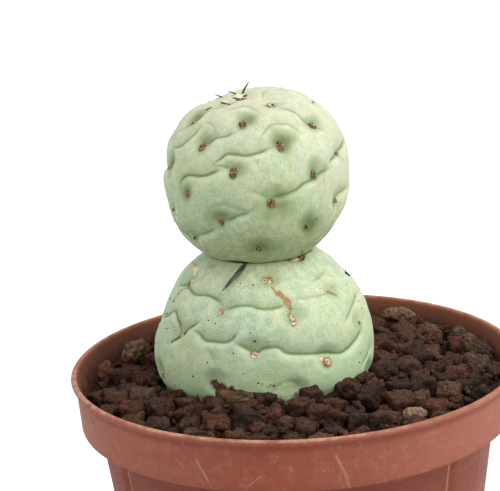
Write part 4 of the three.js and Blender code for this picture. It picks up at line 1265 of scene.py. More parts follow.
def heap(shapes):
    """Many separate grains as the points, faces and values of one mesh."""
    points, faces, tones = [], [], []
    start = 0
    for shape_points, shape_faces, tone in shapes:
        points.append(shape_points)
        faces.append(shape_faces + start)
        tones.append(np.tile(tone, (len(shape_points), 1)))
        start += len(shape_points)
    return np.vstack(points), np.vstack(faces), {"tone": np.vstack(tones)}


grain_shapes = []
for number, grain in enumerate(big_grains):
    points = grain_points(grain, grain_net[0], 100 + 7 * number)
    grain_shapes.append((points, grain_net[1], drawn_tone(grain["at"])))
grain_heap = heap(grain_shapes)
lava_finish = stone_finish("lava_gravel", None, 0.7)
add_piece("gravel_grains", *grain_heap, lava_finish, "lava_gravel", "gravel_bed")

# %% [markdown]
# Small chips fill the gaps and bank up against the back of the wall. Scattering them evenly would leave
# some on top of the big grains and others in the air, so a map of half-millimetre cells holds how high the
# gravel stands. A chip tries a few places and takes the lowest, and the map then rises by it.

# %% Small chips between the grains
CHIP_TRIES = 5
CHIP_COUNT = 620
LARGE_CHIP = 1.15
HIGHEST_CHIP = 1.9
DRIFT_FROM = 45.2
# chips banked against the back of the wall: how many, and between which azimuths
drifts = [(34, (98, 136)), (30, (-138, -104))]
small_net, large_net = ball_net(3), ball_net(4)
chip_draw = draws(909)
MAP_STEP = 0.5
map_edge = pot["rim"]
map_size = round(2 * map_edge / MAP_STEP) + 1


def map_cell(x, y):
    """The cell of the map that a place lies in."""
    return tuple(np.clip(np.round((np.asarray(along) + map_edge) / MAP_STEP), 0, map_size - 1).astype(int)
                 for along in (x, y))


def height_map(points):
    """How high the gravel stands over a grid of half-millimetre cells."""
    grid = np.linspace(-map_edge, map_edge, map_size)
    x, y = np.meshgrid(grid, grid, indexing="ij")
    heights = gravel_height(x, y) - 1.2
    np.maximum.at(heights, map_cell(points[:, 0], points[:, 1]), points[:, 2])
    return heights


def chip_points(at, size, seed):
    """A small chip: a ball pressed against planes of its own, and squeezed a little."""
    ways, faces = large_net if size > LARGE_CHIP else small_net
    radius = pressed(ways, *crushed_planes(seed), crushed["uncut"], 40.0)
    half = size * np.array([0.8 + 0.7 * chip_draw(), 0.7 + 0.4 * chip_draw(), 0.5 + 0.4 * chip_draw()])
    points = weathered(ways * radius[:, None] * half, ways, size, seed, 1.8)
    points = turned(turned(points, 90 * chip_draw(), "x"), 360 * chip_draw())
    return kept_inside(points + at), faces


def is_free(x, y, size):
    """Whether a chip may lie there: clear of the plant and of the stones of another colour."""
    before_stem = 0.4 if y > 0 else 1.2
    if from_stem(x, y) < lower["girth"] - 0.6 + before_stem * size:
        return False
    return all(math.hypot(x - stone["at"][0], y - stone["at"][1]) > 0.9 * max(stone["half"][:2]) + size
               for stone in loose_stones.values())


def lay_chips(count, sizes, from_reach, azimuths, seed):
    """Chips laid one by one, each in the lowest of a few places that are tried."""
    shapes = []
    for number in range(count):
        size = sizes[0] + (sizes[1] - sizes[0]) * chip_draw() ** 1.5
        tries = []
        for _ in range(CHIP_TRIES):
            share = chip_draw()
            reach = math.sqrt(from_reach**2 + ((inner_reach - size) ** 2 - from_reach**2) * share)
            angle = math.radians(azimuths[0] + (azimuths[1] - azimuths[0]) * chip_draw())
            x, y = reach * math.sin(angle), -reach * math.cos(angle)
            height = top_map[map_cell(x, y)]
            above = height - gravel_height(x, y)
            if is_free(x, y, size) and above < HIGHEST_CHIP:
                tries.append((above, x, y, height))
        if tries:
            _, x, y, height = min(tries)
            points, faces = chip_points(np.array([x, y, height + 0.25 * size]), size, seed + 3 * number)
            shapes.append((points, faces, drawn_tone((99, 99))))
            np.maximum.at(top_map, map_cell(points[:, 0], points[:, 1]), points[:, 2])
    return shapes


top_map = height_map(grain_heap[0])
inner_reach = BAND_INSIDE - 1.2
chip_shapes = lay_chips(CHIP_COUNT, (0.7, 1.9), 0, (0, 360), 5000)
for count, azimuths in drifts:
    chip_shapes += lay_chips(count, (1.3, 2.2), DRIFT_FROM, azimuths, 8000 + count)
add_piece("gravel_chips", *heap(chip_shapes), lava_finish, "lava_gravel", "gravel_bed")

# %% [markdown]
# Under the grains the pot is full of the same lava, crushed finer. It is seen in the gaps from above and
# through the holes in the pot's foot from below. It could be grains all the way down, but a body turned
# from the inside of the pot, with a rough top that dips under the plant, shows the same and costs far less.

# %% The filling of the pot
FILL_RINGS = 70
FILL_SECTORS = 220
FILL_GAP = 0.35
wall_top = pot["height"] - pot["band_height"]
floor_top = pot["foot_recess"] + pot["wall"]


def wall_radius(height):
    """The outside of the pot's tapered wall."""
    return pot["foot"] + (pot["step"] - pot["foot"]) * height / wall_top


def fill_top(x, y):
    """The top of the filling: rough, and dished under the plant."""
    height = gravel_height(x, y) + 0.2
    share = from_stem(x, y) / lower["girth"]
    dish = lower["centre"][2] - lower["drop"] * np.sqrt(np.maximum(1 - share**2, 0)) - 0.3
    places = np.column_stack([x, y, height])
    rough = 0.7 * lumps(places, 2.6, 31) + 0.4 * lumps(places, 1.1, 32)
    return np.minimum(height - 1.0 + rough, dish)


def turned_grid(radii, heights, sectors):
    """Points on rings of those radii and heights, ring by ring."""
    angle = np.arange(sectors) * 2 * np.pi / sectors
    ring = np.stack([np.sin(angle), -np.cos(angle)], axis=-1)
    flat = np.asarray(radii)[:, None, None] * ring[None]
    tall = np.broadcast_to(np.asarray(heights)[:, None, None], (*flat.shape[:2], 1))
    return np.concatenate([flat, tall], axis=2).reshape(-1, 3)


def turned_faces(rings, sectors):
    """Four-cornered faces between neighbouring rings."""
    start = np.arange(rings - 1)[:, None] * sectors
    here = np.arange(sectors)[None]
    beside = (here + 1) % sectors
    corners = (start + here, start + beside, start + sectors + beside, start + sectors + here)
    return np.column_stack([corner.ravel() for corner in corners])


def filling():
    """The filling's points and faces, from the middle of its top round to the middle of its foot."""
    ledge = BAND_INSIDE - FILL_GAP
    shelf = wall_top + pot["wall"] + FILL_GAP
    foot = floor_top + FILL_GAP
    throat, base = (wall_radius(height) - pot["wall"] - FILL_GAP for height in (wall_top, floor_top))
    down = [(ledge, shelf + 0.5), (ledge - 0.5, shelf), (throat, shelf - 1.0)]
    down += [(throat + (base - throat) * s, shelf - 1 + (foot - shelf + 1) * s) for s in (0.33, 0.67, 1)]
    down += [(base * s, foot) for s in (0.8, 0.6, 0.4, 0.2, 0.0004)]
    radii = [*np.linspace(0.02, ledge, FILL_RINGS), *(radius for radius, _ in down)]
    heights = [*([0.0] * FILL_RINGS), *(height for _, height in down)]
    points = turned_grid(radii, heights, FILL_SECTORS)
    top = slice(0, FILL_RINGS * FILL_SECTORS)
    points[top, 2] = fill_top(points[top, 0], points[top, 1])
    return points, turned_faces(len(radii), FILL_SECTORS)[:, ::-1]


fill_points, fill_faces = filling()
fill_tone = {"tone": np.tile(rgb(40, 27, 23), (len(fill_points), 1))}
add_piece("gravel_filling", fill_points, fill_faces, fill_tone, lava_finish, "lava_gravel", "gravel_bed")

# %% [markdown]
# The pot is thin moulded plastic: a rolled lip, a slightly coned band, a step, and a tapered wall with
# three broad ribs between which it is recessed. It is turned from one profile, with every corner rounded as
# a mould leaves it, and the ribs are then pushed out. The holes in its foot are cut last, because a cut is
# the one thing that a turned net can't give.

# %% The pot
POT_SECTORS = 288
POT_LONGEST = 2.2
CORNER = 0.5
CORNER_STEPS = 4
RIB_EDGE = 1.6
HOLE_SIDES = 40


def rounded(profile, radius, steps):
    """An outline with its corners cut back by that radius and rounded in that many steps."""
    outline = [profile[0]]
    for before, here, after in zip(profile, profile[1:], profile[2:]):
        before, here, after = (np.array(point, float) for point in (before, here, after))
        cut = min(radius, np.linalg.norm(here - before) / 2.1, np.linalg.norm(after - here) / 2.1)
        start = here + unit(before - here) * cut
        end = here + unit(after - here) * cut
        for step in range(steps + 1):
            share = step / steps
            outline.append(tuple((1 - share) ** 2 * start + 2 * share * (1 - share) * here + share**2 * end))
    return [*outline, profile[-1]]


def divided(outline, longest):
    """An outline with its long stretches split."""
    points = [outline[0]]
    for start, end in zip(outline, outline[1:]):
        start, end = np.array(start, float), np.array(end, float)
        parts = max(1, math.ceil(np.linalg.norm(end - start) / longest))
        points += [tuple(start + (end - start) * part / parts) for part in range(1, parts + 1)]
    return points


def pot_outline():
    """The pot's profile in radii and heights, from its foot up the outside and down the inside."""
    bead_under = pot["height"] - pot["bead_height"]
    band_top = pot["rim"] - pot["bead_proud"]
    rim, top, wall, ring = pot["rim"], pot["height"], pot["wall"], pot["foot"] - pot["foot_width"]
    outside = [
        (0.02, pot["foot_recess"]), (ring, pot["foot_recess"]), (ring + 0.4, 0), (wall_radius(0), 0),
        (wall_radius(wall_top), wall_top), (pot["band_low"], wall_top), (band_top, bead_under),
        (rim - 0.35, bead_under + 0.3), (rim, top - 0.6), (rim - 0.45, top),
        (rim - wall + 0.1, top), (rim - wall - 0.2, top - 0.45),
    ]
    inside = [
        (band_top - wall + 0.45, bead_under - 0.6), (BAND_INSIDE, wall_top + wall),
        (wall_radius(wall_top) - wall, wall_top + wall), (wall_radius(floor_top) - wall, floor_top),
        (0.02, floor_top),
    ]
    return divided(rounded([*outside, *inside], CORNER, CORNER_STEPS), POT_LONGEST)


def azimuth_of(points):
    return np.degrees(np.arctan2(points[:, 0], -points[:, 1]))


def rib_share(points):
    """1 on the three broad ribs of the lower wall, and 0 on the recessed wall between them."""
    share = np.zeros(len(points))
    for middle in pot["ribs"]:
        offset = np.abs((azimuth_of(points) - middle + 540) % 360 - 180)
        share = np.maximum(share, 1 - smooth_step(-RIB_EDGE / 2, RIB_EDGE / 2, offset - pot["rib_width"] / 2))
    return share


def pot_points():
    """The pot's profile turned round, with its ribs and a slight warp of its top."""
    outline = pot_outline()
    points = turned_grid(*np.array(outline).T, POT_SECTORS)
    reach = np.hypot(points[:, 0], points[:, 1])
    height = points[:, 2]
    on_wall = (height > 0.4) & (height < wall_top - 0.2) & (np.abs(reach - wall_radius(height)) < 0.02)
    grown = 1 + on_wall * pot["rib_height"] * rib_share(points) / reach
    warp = 1 + 0.0012 * lumps(points, 34.0, 41) * smooth_step(20, 80, height)
    points[:, :2] *= (grown * warp)[:, None]
    limit = np.minimum(1, (pot["rim"] - 0.01) / np.hypot(points[:, 0], points[:, 1]))
    points[:, :2] *= limit[:, None]
    return points, turned_faces(len(outline), POT_SECTORS)[:, ::-1]


def drill(piece):
    """Cuts the drain holes through the foot and keeps the result as the piece's mesh."""
    points, faces = [], []
    turn = np.arange(HOLE_SIDES) * 2 * np.pi / HOLE_SIDES
    low, high = list(range(HOLE_SIDES)), list(range(HOLE_SIDES, 2 * HOLE_SIDES))
    sides = list(zip(low, low[1:] + low[:1], high[1:] + high[:1], high))
    for hole in range(pot["holes"]):
        angle = math.radians(360 / pot["holes"] * (hole + 0.5))
        x, y = pot["hole_circle"] * math.sin(angle), pot["hole_circle"] * math.cos(angle)
        faces += [tuple(len(points) + corner for corner in face) for face in (*sides, low[::-1], high)]
        for height in (-1.0, floor_top + 1.0):
            points += [(x + pot["hole_radius"] * math.cos(t), y + pot["hole_radius"] * math.sin(t), height)
                       for t in turn]
    cutter_mesh = bpy.data.meshes.new("drill")
    cutter_mesh.from_pydata([tuple(MM * value for value in point) for point in points], [], faces)
    cutter = placed("drill", cutter_mesh)
    cut = piece.modifiers.new("holes", "BOOLEAN")
    cut.object = cutter
    cut.solver = "EXACT"
    evaluated = piece.evaluated_get(bpy.context.evaluated_depsgraph_get())
    drilled = bpy.data.meshes.new_from_object(evaluated)
    piece.modifiers.clear()
    piece.data = drilled
    bpy.data.objects.remove(cutter)
    return len(drilled.polygons)


# %% [markdown]
# The plastic is a dull, faded terracotta, darker towards the foot. Painted shade darkens the wall under the
# band and a line under the lip, a painted highlight runs along the top of the lip and the edges of the ribs,
# and the band is painted paler towards its sides as a sheen. Turned marks, scratches and scuffs could be
# painted by hand, but they follow from the height and the angle on the pot, so noise that is stretched along
# one or the other draws them.

# %% The finish of the pot
# the low tone is painted shade, the lip's tone a painted highlight, the faded tone also a painted sheen and
# the scuff tone also a painted highlight on the rib edges
pot_tones = {
    "body": rgb(124, 64, 49), "warm": rgb(130, 64, 46), "faded_and_sheen": rgb(148, 94, 76),
    "scuff_and_highlight": rgb(170, 126, 108), "dirt": rgb(60, 42, 34), "lip": rgb(170, 128, 106),
    "inside": rgb(122, 80, 66), "low": rgb(106, 46, 32),
}
# scratches as azimuth and height of both ends, and half width in mm
scratches = [
    ((-25.5, 85.0), (-22.0, 79.0), 0.32), ((-23.6, 82.5), (-22.2, 79.6), 0.16),
    ((8.2, 86.2), (11.4, 79.2), 0.42), ((10.6, 79.9), (12.4, 76.6), 0.22),
    ((-31.0, 84.0), (-28.5, 82.2), 0.14), ((-9.0, 82.0), (-13.5, 78.6), 0.16),
    ((-14.0, 71.0), (-10.0, 68.0), 0.2),
]


def strongest(masks):
    """The highest of several masks at each point."""
    return reduce(lambda first, second: first.math("MAXIMUM", second), masks)


def scratch_mask(finish, around, height):
    """Pale scratches, from the distance to a few straight lines on the unrolled wall."""
    lines = []
    ragged = finish.clouds(0.5, 2.0) * 0.7 + 0.65
    for start, end, width in scratches:
        (x0, z0), (x1, z1) = [(math.radians(azimuth) * pot["rim"], z) for azimuth, z in (start, end)]
        length = math.hypot(x1 - x0, z1 - z0)
        right, rise = (x1 - x0) / length, (z1 - z0) / length
        share = ((around - x0) * right + (height - z0) * rise) / length
        across = abs((around - x0) * rise - (height - z0) * right)
        inside = share.between(-0.02, 0.12) * (1 - share.between(0.8, 1.02))
        lines.append((1 - (across / width * ragged).between(0.4, 1.0)) * inside)
    return strongest(lines)


def rib_edge_highlight(x, y):
    """A painted highlight: a thin line along both edges of each rib, from the distance to the rib's middle
    plane.
    """
    lines = []
    for azimuth in pot["ribs"]:
        s, c = math.sin(math.radians(azimuth)), math.cos(math.radians(azimuth))
        ahead = (x * s - y * c).between(0.0, 10.0)
        from_edge = abs(abs(x * c + y * s) - (pot["rib_width"] - RIB_EDGE) / 2)
        lines.append((1 - from_edge.between(0.08, 0.4)) * ahead)
    return strongest(lines)


def pot_finish():
    finish = Finish("terracotta_plastic", pot_tones, Roughness=0.6, Specular_IOR_Level=0.16)
    x, y, height = (finish.node("ShaderNodeSeparateXYZ", {}, {0: finish.place}, axis) for axis in "XYZ")
    around = x.math("ARCTAN2", y * -1) * pot["rim"]
    above_step = height.between(76.0, 80.0) * 0.75 + 0.25
    under_step = 1 - height.between(wall_top - 1.5, wall_top - 0.5)
    broad = finish.clouds(26.0, 3.0)
    streaks = finish.clouds(5.0, 3.0, 0.6, (0.5, 0.5, 2.6))
    blotches = finish.clouds(2.6, 4.0, 0.7)
    fine = finish.clouds(0.7, 3.0, 0.65)
    inner = finish.value("inside")
    finish.colour = finish.blend(broad.between(0.35, 0.65), "body", "warm")
    # painted shade on the wall under the band
    finish.lay(1 - height.between(74.0, 80.0), "low")
    finish.lay(streaks.between(0.5, 0.8) * 0.35, "faded_and_sheen")
    finish.lay((blotches * 0.7 + fine * 0.3).between(0.48, 0.66) * 0.45 * above_step, "faded_and_sheen")
    # a painted sheen: the band is paler towards its sides
    finish.lay(abs((around + 8.0) / 52.0).held() * 0.5 * above_step, "faded_and_sheen")
    # painted shadow in a line under the lip's bead
    finish.lay(height.between(86.6, 87.8) * (1 - height.between(88.6, 89.4)) * 0.45, "low")
    # painted highlight along the top of the lip where it faces up, broken into patches and left out on the
    # front right
    worn = blotches.between(0.38, 0.6) * 0.6 + fine.between(0.35, 0.6) * 0.25 + 0.1
    edge = finish.upward().between(0.2, 0.8) * height.between(88.6, 89.5) * worn
    redder = around.between(6.0, 34.0) * (1 - around.between(70.0, 85.0)) * 0.6
    finish.lay(edge * (1 - redder), "lip")
    finish.lay(inner * 0.85, "inside")
    soil = inner * (1 - height.between(84.0, 88.6)) * finish.clouds(2.2, 3.0).between(0.3, 0.6)
    finish.lay(soil * 0.75, "dirt")
    finish.lay(finish.clouds(3.2, 4.0, 0.7).between(0.5, 0.68) * finish.value("grimy") * 0.8, "dirt")
    specks = (1 - finish.pits(3.0).between(0.03, 0.08)) * finish.clouds(3.0).between(0.5, 0.6)
    scuffs = finish.clouds(1.3, 4.0, 0.75, (1.0, 1.0, 0.5)).between(0.54, 0.74) * blotches.between(0.44, 0.6)
    lines = scratch_mask(finish, around, height) * (fine.between(0.3, 0.6) * 0.4 + 0.12)
    # painted highlight along the edges of the ribs
    ribs = rib_edge_highlight(x, y) * under_step * (fine.between(0.3, 0.6) * 0.4 + 0.2)
    pale = strongest([lines, specks * 0.7, scuffs * 0.42 * above_step, ribs])
    # pale scratches, specks and scuffs, and the painted highlight on the rib edges
    finish.lay(pale * (1 - inner), "scuff_and_highlight")
    finish.feed("Roughness", fine * 0.16 + 0.5 + pale * 0.15)
    ripple = finish.clouds(1.0, 1.0, 0.5, (0.08, 0.08, 1.0))
    return finish.done(fine * 0.25 + ripple * 0.5 - pale * 0.3, 0.05)


pot_net, pot_faces = pot_points()
tall = pot_net[:, 2]
band_middle = pot["band_low"] + (tall - wall_top) * 0.06
wall_middle = np.where(tall > wall_top, band_middle, wall_radius(tall)) - pot["wall"] / 2
outward = np.hypot(pot_net[:, 0], pot_net[:, 1]) - wall_middle
inside_mask = (1 - smooth_step(-0.25, 0.25, outward)) * (tall > pot["foot_recess"] + 0.3)
left_rim = np.exp(-(((azimuth_of(pot_net) + 66) / 10) ** 2))
# dirt on the left of the rim, and darker towards the foot
grimy = 0.15 + 0.85 * left_rim * smooth_step(82, 87, tall) + 0.6 * smooth_step(50, 10, tall)
pot_masks = {"inside": inside_mask, "grimy": np.clip(grimy, 0, 1)}
pot_piece = add_piece("pot_shell", pot_net, pot_faces, pot_masks, pot_finish(), "terracotta_plastic", "pot")
print("with its holes the pot has", drill(pot_piece), "faces")

# %% [markdown]
# Where the lower segment meets the gravel its old foot shows: a yellowish brown, corky knob, from which a
# tap root goes down through the filling. The knob could be turned like a pebble, but the solid was cut from
# drawn planes and the root follows a route, so the same planes and the same route keep both where they are.

# %% The root crown
crown = {
    "knob": (-13.2, -14.6, 87.0), "half": (5.6, 4.6, 2.7), "turn": -16, "seed": 77, "thick": 3.0, "thin": 0.9,
    "route": [(-13.2, -14.4, 86), (-15.2, -16.4, 78), (-12.5, -10, 66), (-8.5, 0, 57), (-7, 6, 42),
              (-6, 8, 26)],
}
bark_tones = {
    "body": rgb(86, 67, 42), "pale": rgb(104, 84, 56), "dark": rgb(42, 29, 20), "red": rgb(76, 52, 38),
}
crown_net = ball_net(20)
ROOT_SIDES = 24
ROOT_SPANS = 12


def rod(line, radii, outward, flatness, sides):
    """A rod of changing radius along a line, closed by a point at each end, and its triangles."""
    along = unit(np.gradient(line, axis=0))
    across = unit(np.cross(along, outward))
    away = np.cross(across, along)
    angle = np.arange(sides) * 2 * np.pi / sides
    ring = across[:, None] * np.cos(angle)[:, None] + flatness * away[:, None] * np.sin(angle)[:, None]
    points = np.vstack([(line[:, None] + radii[:, None, None] * ring).reshape(-1, 3), line[0], line[-1]])
    quads = turned_faces(len(line), sides)
    side = np.arange(sides)
    beside = (side + 1) % sides
    last = (len(line) - 1) * sides
    start = np.column_stack([np.full(sides, len(points) - 2), beside, side])
    end = np.column_stack([np.full(sides, len(points) - 1), last + side, last + beside])
    return points, np.vstack([quads[:, [0, 1, 2]], quads[:, [0, 2, 3]], start, end])


def rod_middle(line, sides):
    """The place on the line for each point of a rod."""
    return np.vstack([np.repeat(line, sides, axis=0), line[0], line[-1]])


def turned_outward(points, faces):
    """The faces of a closed body, all looking out of it."""
    a, b, c = (points[faces[:, corner]] for corner in range(3))
    return faces if np.einsum("ij,ij->i", a, np.cross(b, c)).sum() > 0 else faces[:, ::-1]


def knob_points():
    """The corky knob: the solid's planes with softer edges, and bark that is rough along its length."""
    ways = crown_net[0]
    radius = pressed(ways, *crushed_planes(crown["seed"]), crushed["uncut"])
    points = ways * radius[:, None] * crown["half"]
    grain = points * [0.35, 1.0, 1.0]
    bark = 0.2 * lumps(grain, 1.0, 61) + 0.1 * lumps(grain, 0.42, 62) + 0.25 * lumps(points, 2.4, 63)
    return turned(points + ways * bark[:, None], crown["turn"]) + crown["knob"]


def tap_root():
    """The root's points and faces, rough all along its route."""
    line = curve_through(np.array(crown["route"], float), ROOT_SPANS)
    radii = crown["thick"] + (crown["thin"] - crown["thick"]) * np.linspace(0, 1, len(line))
    points, faces = rod(line, radii, np.array([0.3, 1.0, 0.2]), 1.0, ROOT_SIDES)
    bark = 0.25 * lumps(points, 1.8, 64) + 0.12 * lumps(points, 0.8, 65)
    points = points + bark[:, None] * (points - rod_middle(line, ROOT_SIDES)) / crown["thick"]
    return points, turned_outward(points, faces)


def bark_finish():
    finish = Finish("woody_bark", bark_tones, Roughness=0.88, Specular_IOR_Level=0.25)
    along = finish.clouds(0.8, 4.0, 0.65, (0.3, 1.0, 1.0))
    broad = finish.clouds(2.6, 2.0)
    fine = finish.clouds(0.25, 3.0, 0.7)
    finish.colour = finish.blend(broad.between(0.4, 0.6), "body", "red")
    finish.lay(along.between(0.5, 0.68), "pale")
    finish.lay(1 - along.between(0.34, 0.48), "dark")
    finish.lay(fine.between(0.56, 0.7) * 0.5, "dark")
    return finish.done(along + fine * 0.4, 0.25)


root_points, root_faces = tap_root()
crown_points = knob_points()
crown_faces = np.vstack([crown_net[1], root_faces + len(crown_points)])
crown_points = np.vstack([crown_points, root_points])
add_piece("corky_crown", crown_points, crown_faces, {}, bark_finish(), "woody_bark", "root_crown")

# %% [markdown]
# Only a few spines are left: a tuft of short dark ones on the crown of the plant, and one long, flat, grey
# one that comes out from under the upper segment. A cone would be the simplest, but these are flat and
# fibrous, so each is a rod along the solid's own line, flattened against the skin, with grooves along it.

# %% The spines
# the segment, the root's azimuth and elevation, the tip's place from there, the width and the flatness
spines = {
    "spine_top": (upper, (-76, 83), (1.8, -0.3, 2.75), 0.8, 0.7),
    "spine_left": (upper, (-75, 79.5), (-2.0, -0.1, 0.8), 0.7, 0.7),
    "spine_far_left": (upper, (-112, 68), (-1.9, -0.2, 0.8), 0.6, 0.7),
    "spine_low": (upper, (-16, 68.5), (-2.5, 0.9, 0.55), 0.8, 0.7),
    "spine_lower": (upper, (-33, 64.5), (-2.7, 2.0, 0.45), 0.75, 0.7),
    "spine_lowest": (upper, (-60, 58.5), (-1.6, -0.5, -0.45), 0.7, 0.7),
    "spine_right": (upper, (-39, 81), (1.0, -0.2, 0.4), 0.7, 0.7),
    "spine_long": (lower, (-15.5, 61.5), (-5.2, -6.0, -4.3), 1.5, 0.4),
}
SPINE_BEHIND = 0.7
SPINE_SIDES = 20
SPINE_SPANS = 26


def spine_shape(ball, root, tip, width, flatness):
    """A spine's points and faces, and the light and dark of its fibres."""
    way = direction(*root)
    stand = finished_skin(ball, way[None])[0][0]
    foot = stand - ball["rooted"] * way - SPINE_BEHIND * unit(np.array(tip))
    end = stand + np.array(tip)
    bow_way = way if ball["bow_way"] is None else unit(np.array(ball["bow_way"]))
    line = curve_through(np.array([foot, (foot + end) / 2 + ball["bow"] * bow_way, end]), SPINE_SPANS)
    share = np.linspace(0, 1, len(line))
    radii = width / 2 * (1 - 0.62 * share) * np.minimum(1, (1.03 - share) / 0.12)
    points, faces = rod(line, radii, way, flatness, SPINE_SIDES)
    angle = np.arange(SPINE_SIDES) * 2 * np.pi / SPINE_SIDES
    around = np.column_stack([np.tile(np.cos(angle), len(line)), np.tile(np.sin(angle), len(line)),
                              np.repeat(share * 1.4, SPINE_SIDES)])
    around = np.vstack([around, around[:1], around[-1:]])
    fibre = lumps(around, 0.32, 71) + 0.5 * lumps(around, 0.16, 72)
    points = points + 0.12 * fibre[:, None] * (points - rod_middle(line, SPINE_SIDES))
    shares = np.concatenate([np.repeat(share, SPINE_SIDES), [0, 1]])
    return points, turned_outward(points, faces), {"fibre": fibre, "share": shares}


def spine_finish():
    tones = {"dark": rgb(40, 37, 33), "pale": rgb(98, 95, 88), "worn": rgb(168, 152, 124)}
    finish = Finish("spine_horn", tones, Roughness=0.55, Specular_IOR_Level=0.4)
    fine = finish.clouds(0.3, 3.0, 0.6)
    share = finish.value("share")
    finish.colour = finish.blend((finish.value("fibre") + fine - 0.5).between(-0.2, 0.7), "dark", "pale")
    finish.lay(share.between(0.82, 0.9) * (1 - share.between(0.94, 0.98)) * fine.between(0.4, 0.6), "worn")
    return finish.done(fine, 0.04)


horn = spine_finish()
for name, (ball, *form) in spines.items():
    add_piece(name, *spine_shape(ball, *form), horn, "woody_bark", ball["node"])

# %% [markdown]
# The felt of an areole is a tight tuft of wool and old spine stumps, less than two millimetres across.
# Painted on, it looks like a button. A dozen short strands of different tones, each rooted in the skin and
# leaning up and out, give the ragged outline and the small dark gaps. Old scars on the shoulder get broader
# flakes.

# %% Felt in the areoles
felt_tones = [
    (26, rgb(190, 160, 130)), (18, rgb(214, 196, 170)), (22, rgb(150, 112, 80)), (20, rgb(96, 66, 44)),
    (14, rgb(52, 34, 24)),
]
scar_tones = [
    (30, rgb(214, 196, 166)), (24, rgb(190, 160, 124)), (12, rgb(164, 128, 92)), (2, rgb(112, 82, 56)),
]
STRAND_THICK = 0.13
STRAND_LONG = 0.26
strand_net = ball_net(2)
felt_draw = draws(313)


def strand(foot, lean, thick, length, seed):
    """A short strand or flake: a rough ball drawn out along a way."""
    ways, faces = strand_net
    side = unit(np.cross(lean, [0.31, 0.84, 0.44]))
    shape = ways * [thick, thick * 0.7, length]
    shape = shape * (1 + 0.25 * lumps(ways * 1.3 + seed, 0.9, 91))[:, None]
    points = shape @ np.array([side, np.cross(lean, side), lean]) + foot + lean * length * 0.35
    return points, faces


def tuft(ball, way, count, wide, tall, tones):
    """Strands scattered over an oval round a way, each rooted in the skin."""
    east, north = sides_of(way)
    angle = np.array([2 * np.pi * felt_draw() for _ in range(count)])
    reach = np.sqrt([felt_draw() for _ in range(count)])
    across, up = wide * reach * np.cos(angle), tall * reach * np.sin(angle)
    ways = unit(way + (across[:, None] * east + up[:, None] * north) / ball["girth"])
    feet = finished_skin(ball, ways)[0]
    shapes = []
    for foot, out, a, u in zip(feet, ways, across, up):
        drift = east * (0.5 * a / wide + 0.7 * (felt_draw() - 0.5)) + north * (0.35 * u / tall + 0.2)
        lean = unit(out + drift)
        thick = STRAND_THICK * (0.7 + 0.6 * felt_draw())
        length = STRAND_LONG * (0.6 + 0.8 * felt_draw())
        points, faces = strand(foot, lean, thick, length, felt_draw() * 90)
        shapes.append((points, faces, picked(tones, felt_draw)))
    return shapes


def shows(ball, way):
    """Whether a place on a segment is clear of the gravel and of the other segment."""
    place = finished_skin(ball, way[None])[0][0]
    other = upper if ball is lower else lower
    offset = place - np.array(other["centre"])
    apart = np.linalg.norm(offset) - plain_radius(other, unit(offset)[None])[0]
    return place[2] > gravel_height(place[0], place[1]) + 0.4 and apart > 0.3


def felt_finish():
    finish = Finish("areole_felt", {}, Roughness=0.95, Specular_IOR_Level=0.15)
    fine = finish.clouds(0.22, 3.0, 0.7)
    tone = finish.value("tone", "Color")
    dark = finish.blend(1.0, tone, (0.72, 0.66, 0.61, 1), "MULTIPLY")
    finish.colour = finish.blend(fine.between(0.4, 0.6), dark, tone)
    return finish.done(fine, 0.08)


woolly = felt_finish()
for name, ball, tones in (("felt_upper", upper, felt_tones), ("felt_lower", lower, scar_tones)):
    felt_shapes = []
    for number, way in ball["areoles"].items():
        wide, tall = ball["pads"].get(number, DEFAULT_PAD)
        if wide > 0 and shows(ball, way):
            count = 4 + round(16 * wide * tall)
            felt_shapes += tuft(ball, way, count, 0.9 * wide, 0.9 * tall, tones)
    add_piece(name, *heap(felt_shapes), woolly, "woody_bark", ball["node"])

# %% [markdown]
# Specks of soil and black grit cling to the skin, most of them low on the left and in the hollows. They
# could be painted on, but from the side a crumb stands out from the skin, so each is a tiny rough ball that
# is set into it. The larger ones are where the photograph shows them, and the seeded draw scatters the
# rest.

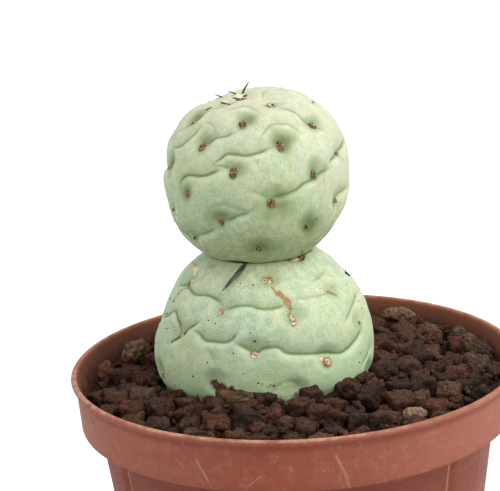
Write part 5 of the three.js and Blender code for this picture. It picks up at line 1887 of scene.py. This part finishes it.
# %% Crumbs on the skin
# azimuth, elevation and size in mm
lower_crumbs = [
    (-79, 32, 0.3), (-69, 33, 0.2), (-64, 19, 0.24), (-57, 20, 0.14), (-15, 50, 0.2), (-27, 28, 0.2),
    (-4, 20, 0.24), (-6, 24, 0.16), (-6, 17, 0.12), (-15, 14, 0.2), (-38, 0, 0.24), (73, 22, 0.24),
    (74, 29, 0.16), (72, 37, 0.14), (-78, -6, 0.24), (86, 40, 0.75), (88, 38, 0.5),
    (-53, -8, 0.16), (-49, -7, 0.2), (-10, 4, 0.16), (-3, -1, 0.26), (-1, -1.6, 0.2), (3, -2, 0.2),
    (4.5, -3, 0.26), (-74, 25, 0.24),
]
upper_crumbs = [(-70, -22, 0.24), (-60, -30, 0.2), (40, -20, 0.18), (-48, -42, 0.22)]
crumb_tones = [(5, rgb(30, 24, 20)), (3, rgb(58, 40, 30)), (1, rgb(104, 78, 58))]
crumb_draw = draws(717)


def crumb(ball, azimuth, elevation, size, seed):
    """A crumb set into the skin."""
    way = direction(azimuth, elevation)
    ways, faces = strand_net
    half = size * np.array([0.8 + 0.5 * crumb_draw(), 0.6 + 0.4 * crumb_draw(), 0.5 + 0.3 * crumb_draw()])
    shape = ways * (1 + 0.3 * lumps(ways * 1.4 + seed, 0.8, 95))[:, None] * half
    east, north = sides_of(way)
    place = finished_skin(ball, way[None])[0][0]
    return shape @ np.array([east, north, way]) + place, faces, picked(crumb_tones, crumb_draw)


def crumbs(ball, known, extra, lowest, highest):
    """The crumbs whose places are known, and extra ones between two elevations."""
    shapes = [crumb(ball, *spot, number) for number, spot in enumerate(known)]
    for number in range(extra):
        azimuth = 360 * crumb_draw()
        elevation = lowest + (highest - lowest) * crumb_draw() ** 2
        size = 0.07 + 0.14 * crumb_draw() ** 2
        shapes.append(crumb(ball, azimuth, elevation, size, 100 + number))
    return shapes


for name, ball, known, *spread in (
    ("crumbs_upper", upper, upper_crumbs, 14, -50, 40), ("crumbs_lower", lower, lower_crumbs, 90, -12, 58),
):
    add_piece(name, *heap(crumbs(ball, known, *spread)), woolly, "lava_gravel", ball["node"])

# %% [markdown]
# The triangles of the finer pieces are counted, and the largest pieces and the sum are printed. A part of
# the library must stay light enough to use, so the triangles are counted.

# %% The end
triangles = sorted(((triangles_in(piece), piece.name) for piece in added_pieces), reverse=True)
print("the largest pieces:", triangles[:4])
print(sum(count for count, _ in triangles), "triangles in all")
